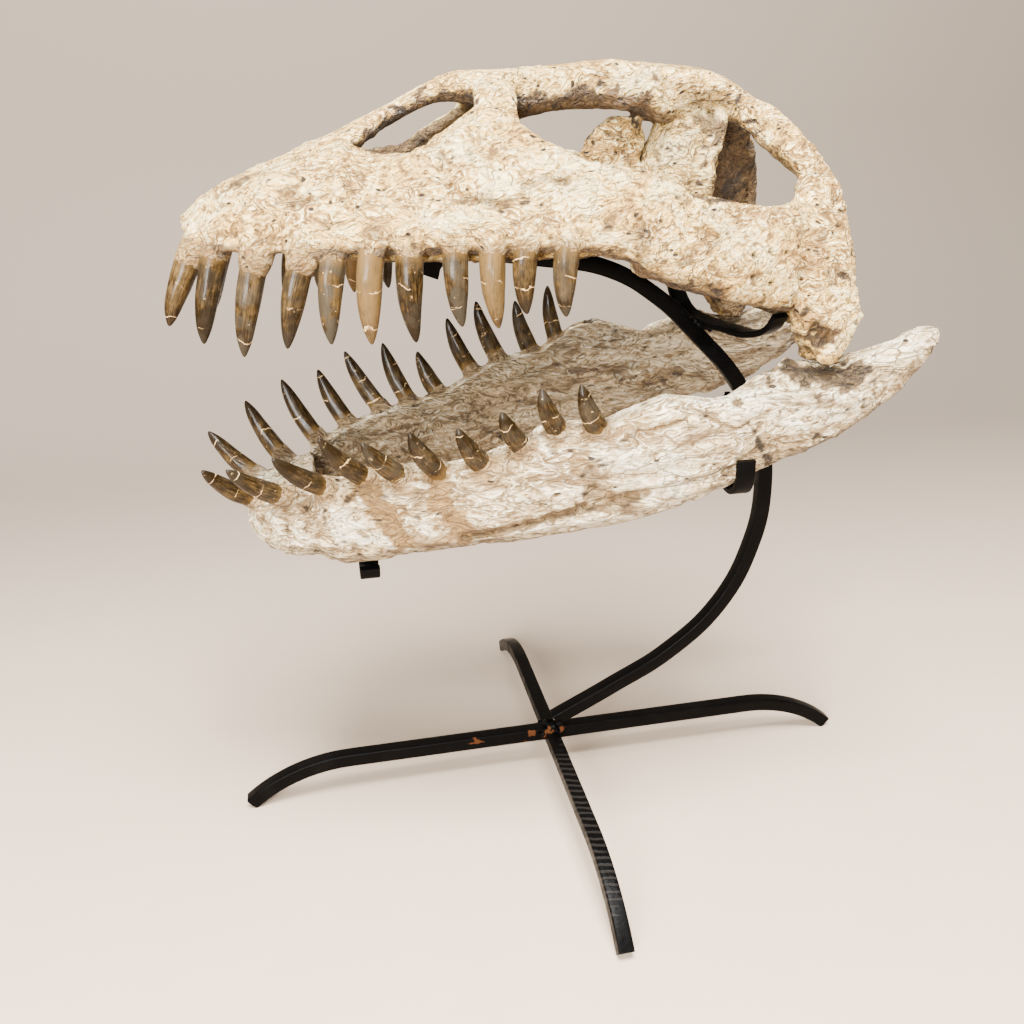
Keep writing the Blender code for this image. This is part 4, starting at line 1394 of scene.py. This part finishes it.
def sweep(name, route, width, height, corner, material):
    """A bar swept along a smooth route, turned into a mesh with closed ends."""
    profile = bar_profile(width, height, corner)
    deselect()
    bpy.ops.curve.primitive_bezier_curve_add(location=(0, 0, 0))
    bar = bpy.context.object
    bar.name = name
    spline = bar.data.splines[0]
    spline.bezier_points.add(len(route) - len(spline.bezier_points))
    for point, place in zip(spline.bezier_points, route):
        point.co = spot(*place)
        point.handle_left_type = point.handle_right_type = "AUTO"
    bar.data.resolution_u = 8
    bar.data.twist_mode = "MINIMUM"
    bar.data.bevel_mode = "OBJECT"
    bar.data.bevel_object = profile
    bar.data.use_fill_caps = True
    select_only(bar)
    bpy.ops.object.convert(target="MESH")
    bar = bpy.context.object
    bpy.data.objects.remove(profile)
    edit(bar)
    bpy.ops.mesh.remove_doubles(threshold=1e-6)
    bpy.ops.mesh.normals_make_consistent(inside=False)
    leave_edit()
    bpy.ops.object.shade_smooth_by_angle(angle=math.radians(35))
    bar.data.materials.clear()
    bar.data.materials.append(material)
    return bar


def leg_route(direction, reach, start):
    """Middle line of a leg: level, then an arc down to the floor."""
    middle = LEG_TOP - BAR / 2
    angle = math.acos(1 - (middle - FOOT_MIDDLE) / LEG_BEND_RADIUS)
    bend_start = reach - LEG_BEND_RADIUS * math.sin(angle)
    route = [(start, middle), ((start + bend_start) / 2, middle), (bend_start - LEG_STRAIGHT, middle)]
    for step in range(LEG_BEND_STEPS + 1):
        turn = angle * step / LEG_BEND_STEPS
        distance = bend_start + LEG_BEND_RADIUS * math.sin(turn)
        route.append((distance, middle - LEG_BEND_RADIUS * (1 - math.cos(turn))))
    return [(direction[0] * distance, direction[1] * distance, z) for distance, z in route]


def stand_bars():
    """Every piece of the stand, as its parts: route, width, height and corner radius."""
    left = leg_route((-1, 0), LEG_REACH["left"], 0.0)
    right = leg_route((1, 0), LEG_REACH["right"], 0.0)
    start = BAR / 2 + WELD_GAP
    square = (BAR, BAR, BAR_CORNER)
    strap = (STRAP_WIDTH, STRAP_THICK, STRAP_CORNER)
    strut = [(x, 0, z) for x, z in STRUT_ROUTE]
    chin_hook = [(CHIN_HOOK_X, y, z) for y, z in CHIN_HOOK_ROUTE]
    return {
        "mast": [([(x, 0, z) for x, z in MAST_ROUTE], *square)],
        "jaw_strut": [
            (strut, BAR, STRAP_THICK, STRAP_CORNER),
            (chin_hook, CHIN_HOOK_WIDTH, STRAP_THICK, STRAP_CORNER),
        ],
        "jaw_hooks": [([(HOOK_X, y, z) for y, z in HOOK_ROUTE], *strap)],
        "cradle": [(CRADLE_ROUTE, *strap)],
        "cross_bar": [(list(reversed(left)) + right[1:], *square)],
        "leg_front": [(leg_route((0, -1), LEG_REACH["front"], start), *square)],
        "leg_back": [(leg_route((0, 1), LEG_REACH["back"], start), *square)],
    }


def grind_foot(bar):
    """Cut the bar finer, to carry its marks, and cut its ends off flat where they meet the floor."""
    edit(bar)
    bpy.ops.mesh.subdivide(number_cuts=BAR_CUTS)
    bpy.ops.mesh.select_all(action="SELECT")
    bpy.ops.mesh.bisect(plane_co=(0, 0, 0), plane_no=(0, 0, 1), use_fill=True, clear_inner=True)
    leave_edit()


def weld_bead(name, lumps, material):
    """Lumps of weld metal run together: centres and radii in millimetres."""
    blobs = []
    for x, y, z, radius in lumps:
        deselect()
        bpy.ops.mesh.primitive_ico_sphere_add(subdivisions=3, radius=radius * MM, location=spot(x, y, z))
        blobs.append(bpy.context.object)
    bead = join(blobs, name)
    apply_place()
    add_remesh(bead, WELD_CELL)
    add_smoothing(bead, 4)
    apply_all(bead)
    places = vertex_places(bead.data)
    ripple = field(places, 2.0, 3.0, 2) * WELD_RIPPLE
    set_places(bead.data, places + vertex_normals(bead.data) * ripple[:, None])
    select_only(bead)
    bpy.ops.object.shade_smooth()
    bead.data.materials.append(material)
    return bead


def mark_iron(item, filed=()):
    """Keep where the iron is rusty, and where its file marks carry painted highlights."""
    places = vertex_places(item.data)
    store_mask(item.data, "rust", patch_mask(places, RUST))
    store_mask(item.data, "filed", patch_mask(places, filed))


# ---- studio -------------------------------------------------------------------------------------
# In metres, from the frame's origin.
PAPER_WIDTH = 9.0
PAPER_DEPTH = 3.0
PAPER_DROP = 0.0004
PAPER_BEND_Y = 0.62
PAPER_BEND_RADIUS = 0.45
PAPER_BEND_STEPS = 12
PAPER_BEND_ANGLE = math.radians(85.0)
PAPER_WALL = (0.0, 0.2, 2.6)
LIGHT_AIM = (0.0, 0.0, 0.25)
KEY_PLACE = (-0.1, -0.5, 1.9)
KEY_SIZE = (1.0, 0.8)
FRONT_PLACE = (-1.0, -1.5, 0.9)
FRONT_SIZE = (0.9, 0.9)
LIGHT_TINT = (1.0, 0.98, 0.95)
# In millimetres from the crossing's floor point, and directions of sight and to the right.
CAMERA_PLACE = (-146.95, -543.81, 455.84)
CAMERA_FORWARD = (0.19477, 0.89024, -0.41175)
CAMERA_RIGHT = (0.97689, -0.21373, 0.0)
FILM_WIDTH = 36.0


def paper_sheet():
    """A sheet of paper that lies flat and then curves up behind the stand."""
    deselect()
    bpy.ops.mesh.primitive_plane_add(size=1.0, location=(0.0, PAPER_BEND_Y - PAPER_DEPTH / 2, -PAPER_DROP))
    sheet = bpy.context.object
    sheet.name = "paper_floor"
    sheet.scale = (PAPER_WIDTH, PAPER_DEPTH, 1.0)
    apply_place()
    edit(sheet, "DESELECT")
    bpy.ops.mesh.select_mode(type="EDGE")
    leave_edit()
    for edge in sheet.data.edges:
        edge.select = all(sheet.data.vertices[v].co.y > PAPER_BEND_Y - 0.1 for v in edge.vertices)
    bpy.ops.object.mode_set(mode="EDIT")
    turn = PAPER_BEND_ANGLE / PAPER_BEND_STEPS
    step = 2 * PAPER_BEND_RADIUS * math.sin(turn / 2)
    slopes = [turn * (number + 0.5) for number in range(PAPER_BEND_STEPS)]
    moves = [(0.0, step * math.cos(slope), step * math.sin(slope)) for slope in slopes]
    for move in (*moves, PAPER_WALL):
        bpy.ops.mesh.extrude_region_move(TRANSFORM_OT_translate={"value": move})
    leave_edit()
    bpy.ops.object.shade_smooth()
    return sheet


def soft_light(name, place, size, power):
    light = bpy.data.lights.new(name, "AREA")
    light.shape = "RECTANGLE"
    light.size, light.size_y = size
    light.energy = power
    light.color = LIGHT_TINT
    item = new_object(name, light)
    item.location = place
    item.rotation_euler = (Vector(LIGHT_AIM) - Vector(place)).to_track_quat("-Z", "Y").to_euler()


def light_room(strength):
    """Even light from all round."""
    world = bpy.data.worlds.new("room")
    world.use_nodes = True
    background = world.node_tree.nodes["Background"].inputs
    background["Color"].default_value = (*LIGHT_TINT, 1.0)
    background["Strength"].default_value = strength
    bpy.context.scene.world = world


def set_camera(focal_length):
    camera = bpy.data.cameras.new("camera")
    camera.lens = focal_length
    camera.sensor_width = FILM_WIDTH
    camera.clip_start = 0.01
    camera.clip_end = 50.0
    item = new_object("camera", camera)
    right, forward = Vector(CAMERA_RIGHT), Vector(CAMERA_FORWARD)
    turn = Matrix((right, right.cross(forward), -forward)).transposed().to_4x4()
    item.matrix_world = Matrix.Translation(spot(*CAMERA_PLACE)) @ turn
    bpy.context.scene.camera = item


# ---- settings -----------------------------------------------------------------------------------
def colour(name, description, value):
    return bpy.props.FloatVectorProperty(
        name=name, description=description, subtype="COLOR", size=4, min=0.0, max=1.0,
        default=(*value, 1.0))


def number(name, description, value, unit="NONE"):
    return bpy.props.FloatProperty(name=name, description=description, default=value, unit=unit)


def length(name, description, value):
    return number(name, description, value, "LENGTH")


def amount(name, description, value, high=1.0):
    return bpy.props.FloatProperty(name=name, description=description, default=value, min=0.0, max=high)


class CarvingSettings:
    """Sizes that the skull and the lower jaw have in common."""

    voxel: length("Carving cell", "Size of the cells that the bone is carved from", 0.00105)
    swell: length("Swell", "How far each solid is swollen so that its neighbours meet it", 0.0003)
    softening: bpy.props.IntProperty(
        name="Softening", description="Rounds of smoothing of the carved block", default=7)
    lump_depth: length("Lump depth", "Depth of the broad unevenness", 0.0011)
    knot_depth: length("Knot depth", "Depth of the small knots", 0.0006)
    fibre_count: amount("Fibre count", "How closely the finest fibres lie", 60.0, 300.0)
    bump_depth: length("Bump", "Depth of the finest relief", 0.0026)
    stain_share: amount("Stain share", "How fully the creases are stained", 0.9)


class BoneSettings(CarvingSettings, bpy.types.PropertyGroup):
    """Sizes and colours of the bones of the skull."""

    carved_length: amount("Carved length", "How much longer the carved relief is along the skull", 1.4, 5.0)
    layer_depth: length("Layer depth", "Step where the outer layer has flaked away", 0.0007)
    strand_depth: length("Strand depth", "Depth of the swirling strands", 0.00032)
    strand_count: amount("Strand count", "How closely the swirling strands lie", 7.5, 60.0)
    pit_depth: length("Pit depth", "Depth of the larger pits", 0.0014)
    suture_depth: length("Suture depth", "How far the seams between bones are sunk", 0.00010)
    smooth_above: number("Smooth above", "Height in millimetres above which the bone is smoother", 436.0)
    grain_squeeze: amount("Grain squeeze", "Scale of the fine grain along the skull", 0.7)
    pit_share: amount("Pit share", "Share of small cells that hold a pit", 0.42)
    # Painted shade on the undersides and inner sides
    underside_shade_share: amount("Hidden share", "How brown the undersides and inner sides are", 0.95)
    # Enclosure at which painted shade and grime begin
    grime_and_shade_start: amount("Shelter start", "How enclosed the bone is where the grime begins", 0.22)
    body_colour: colour("Body", "Main colour of the bone", (0.86, 0.535, 0.145))
    warm_colour: colour("Warm", "Colour of its warmer blotches", (0.42, 0.225, 0.056))
    chalk_colour: colour("Chalk", "Colour of its pale ridges", (0.98, 0.79, 0.40))
    stain_colour: colour("Stain", "Colour that lies in its creases", (0.16, 0.087, 0.026))
    collar_colour: colour("Collar", "Colour of the bone round the teeth", (0.20, 0.108, 0.034))
    filler_colour: colour("Filler", "Colour of the filler in its mended breaks", (0.42, 0.25, 0.10))
    # Painted shade and grime: brown of enclosed places, undersides and inner sides
    dirt_and_shade_colour: colour("Shelter", "Brown of the sheltered sides", (0.130, 0.070, 0.024))
    # Darkest brown of the painted shade and grime
    gloom_colour: colour("Gloom", "Its darkest brown", (0.029, 0.0155, 0.0052))
    pit_colour: colour("Pit", "Colour inside the pits", (0.025, 0.014, 0.007))


class JawSettings(CarvingSettings, bpy.types.PropertyGroup):
    """Sizes and colours of the bones of the lower jaw."""

    carved_length: amount("Carved length", "How much longer the carved relief is along the jaw", 2.6, 5.0)
    layer_depth: length("Layer depth", "Step where the outer layer has flaked away", 0.0008)
    strand_depth: length("Strand depth", "Depth of the long strands", 0.00034)
    strand_count: amount("Strand count", "How closely the long strands lie", 7.0, 60.0)
    pit_depth: length("Pit depth", "Depth of the larger pits", 0.0010)
    suture_depth: length("Suture depth", "How far the seams between bones are sunk", 0.00012)
    smooth_above: number("Smooth above", "Height in millimetres above which the bone is smoother", 330.0)
    grain_squeeze: amount("Grain squeeze", "Scale of the fine grain along the jaw", 0.38)
    pit_share: amount("Pit share", "Share of small cells that hold a pit", 0.32)
    # Painted shade on the undersides and inner sides
    underside_shade_share: amount("Hidden share", "How brown the undersides and inner sides are", 0.8)
    # Enclosure at which painted shade and grime begin
    grime_and_shade_start: amount("Shelter start", "How enclosed the bone is where the grime begins", 0.24)
    body_colour: colour("Body", "Main colour of the bone", (0.75, 0.565, 0.31))
    warm_colour: colour("Warm", "Colour of its warmer blotches", (0.42, 0.285, 0.135))
    chalk_colour: colour("Chalk", "Colour of its pale ridges", (0.97, 0.88, 0.63))
    stain_colour: colour("Stain", "Colour that lies in its creases", (0.19, 0.105, 0.036))
    collar_colour: colour("Collar", "Colour of the bone round the teeth", (0.24, 0.135, 0.045))
    filler_colour: colour("Filler", "Colour of the filler in its mended breaks", (0.29, 0.165, 0.052))
    # Painted shade and grime: brown of enclosed places, undersides and inner sides
    dirt_and_shade_colour: colour("Shelter", "Brown of the sheltered sides", (0.165, 0.102, 0.043))
    # Darkest brown of the painted shade and grime
    gloom_colour: colour("Gloom", "Its darkest brown", (0.036, 0.021, 0.0085))
    pit_colour: colour("Pit", "Colour inside the pits", (0.03, 0.018, 0.009))


class EnamelSettings(bpy.types.PropertyGroup):
    """Colours of the teeth."""

    honey_colour: colour("Honey", "The lightest teeth", (0.108, 0.064, 0.022))
    umber_colour: colour("Umber", "The darkest teeth and tips", (0.0092, 0.0051, 0.0017))
    grey_colour: colour("Grey", "Grey enamel patches", (0.038, 0.031, 0.021))
    root_colour: colour("Root", "Matrix round the neck of a tooth", (0.115, 0.066, 0.021))
    break_colour: colour("Break", "Mended breaks across the teeth", (0.56, 0.37, 0.17))


class IronSettings(bpy.types.PropertyGroup):
    """Finish of the stand."""

    paint_colour: colour("Paint", "Satin black paint", (0.0011, 0.0010, 0.0010))
    dust_colour: colour("Dust", "Dust and rubbed paint", (0.0035, 0.0032, 0.0030))
    # Painted highlight along the file marks
    glint_colour: colour("Filed", "Marks left by the file", (0.011, 0.0095, 0.0085))
    rust_colour: colour("Rust", "Rust in the chips", (0.050, 0.017, 0.006))


class StudioSettings(bpy.types.PropertyGroup):
    """Camera, floor and lights."""

    focal_length: number("Focal length", "Lens, in millimetres on a 36 mm film", 33.4)
    floor_colour: colour("Floor", "Paper under the stand", (0.545, 0.424, 0.317))
    # Painted shade: the wall paper is darker than the floor paper
    wall_shade_colour: colour("Wall", "Paper behind the stand", (0.177, 0.145, 0.115))
    key_power: number("Key light", "Power of the soft light overhead", 238.0, "POWER")
    front_power: number("Front light", "Power of the soft light in front", 163.0, "POWER")
    room_strength: number("Room light", "Strength of the even light of the room", 0.6)


# ---- operators ----------------------------------------------------------------------------------
class SKULL_OT_cranium(bpy.types.Operator):
    """Carve the bones of the skull and upper jaw"""

    bl_idname = "skull.cranium"
    bl_label = "Skull Bones"

    def execute(self, context):
        settings = context.scene.skull_bone
        material = bone_material("skull_fossil_bone", settings)
        teeth = TOOTH_ROWS["upper_left"] + TOOTH_ROWS["upper_right"]
        carve_bones("cranium", CRANIUM_BONES, teeth, material, settings, CRANIUM_FEATURES)
        return {"FINISHED"}


class SKULL_OT_lower_jaw(bpy.types.Operator):
    """Carve the bones of the lower jaw"""

    bl_idname = "skull.lower_jaw"
    bl_label = "Lower Jaw Bones"

    def execute(self, context):
        settings = context.scene.skull_jaw
        material = bone_material("jaw_fossil_bone", settings)
        teeth = TOOTH_ROWS["lower_left"] + TOOTH_ROWS["lower_right"]
        carve_bones("lower_jaw", JAW_BONES, teeth, material, settings, JAW_FEATURES)
        return {"FINISHED"}


class SKULL_OT_teeth(bpy.types.Operator):
    """Turn the teeth and set them in their rows"""

    bl_idname = "skull.teeth"
    bl_label = "Teeth"

    def execute(self, context):
        material = enamel_material(context.scene.skull_enamel)
        blank = tooth_blank()
        for name, teeth in TOOTH_ROWS.items():
            row = set_row("teeth_" + name, blank, teeth, material)
            finish_piece(row)
        bpy.data.objects.remove(blank)
        return {"FINISHED"}


class SKULL_OT_stand(bpy.types.Operator):
    """Sweep the bars and straps of the stand and weld them"""

    bl_idname = "skull.stand"
    bl_label = "Iron Stand"

    def execute(self, context):
        material = iron_material(context.scene.skull_iron)
        for name, parts in stand_bars().items():
            bar = join([sweep(name, *part, material) for part in parts], "iron_" + name)
            if name in ("cross_bar", "leg_front", "leg_back"):
                grind_foot(bar)
            mark_iron(bar, FILED_GLINT if name == "leg_front" else ())
            finish_piece(bar, ["stand_" + name])
        for name, lumps in (("hub", HUB_WELD), ("cradle", CRADLE_WELD), ("strut", STRUT_WELD)):
            bead = weld_bead("weld_" + name, lumps, material)
            mark_iron(bead)
            finish_piece(bead)
        return {"FINISHED"}


class SKULL_OT_studio(bpy.types.Operator):
    """Set the floor, the lights and the camera"""

    bl_idname = "skull.studio"
    bl_label = "Studio"

    def execute(self, context):
        settings = context.scene.skull_studio
        sheet = paper_sheet()
        sheet.data.materials.append(paper_material(settings))
        soft_light("key", KEY_PLACE, KEY_SIZE, settings.key_power)
        soft_light("front", FRONT_PLACE, FRONT_SIZE, settings.front_power)
        light_room(settings.room_strength)
        set_camera(settings.focal_length)
        return {"FINISHED"}


# ---- panel and registration ---------------------------------------------------------------------
STEPS = (SKULL_OT_cranium, SKULL_OT_lower_jaw, SKULL_OT_teeth, SKULL_OT_stand, SKULL_OT_studio)
SETTINGS = {
    "skull_bone": BoneSettings,
    "skull_jaw": JawSettings,
    "skull_enamel": EnamelSettings,
    "skull_iron": IronSettings,
    "skull_studio": StudioSettings,
}


class SKULL_PT_build(bpy.types.Panel):
    """Lists the steps that make the mounted skull"""

    bl_label = "Mounted Skull"
    bl_idname = "SKULL_PT_build"
    bl_space_type = "VIEW_3D"
    bl_region_type = "UI"
    bl_category = "Skull"

    def draw(self, context):
        for step in STEPS:
            self.layout.operator(step.bl_idname)
        for key in SETTINGS:
            box = self.layout.box()
            group = getattr(context.scene, key)
            for name in group.bl_rna.properties.keys():
                if name not in ("rna_type", "name"):
                    box.prop(group, name)


CLASSES = (*SETTINGS.values(), *STEPS, SKULL_PT_build)


def register():
    for item in CLASSES:
        bpy.utils.register_class(item)
    for key, group in SETTINGS.items():
        setattr(bpy.types.Scene, key, bpy.props.PointerProperty(type=group))


def unregister():
    for key in SETTINGS:
        delattr(bpy.types.Scene, key)
    for item in reversed(CLASSES):
        bpy.utils.unregister_class(item)


def main():
    register()
    for step in STEPS:
        getattr(bpy.ops.skull, step.bl_idname.split(".")[1])()


if __name__ == "__main__":
    main()
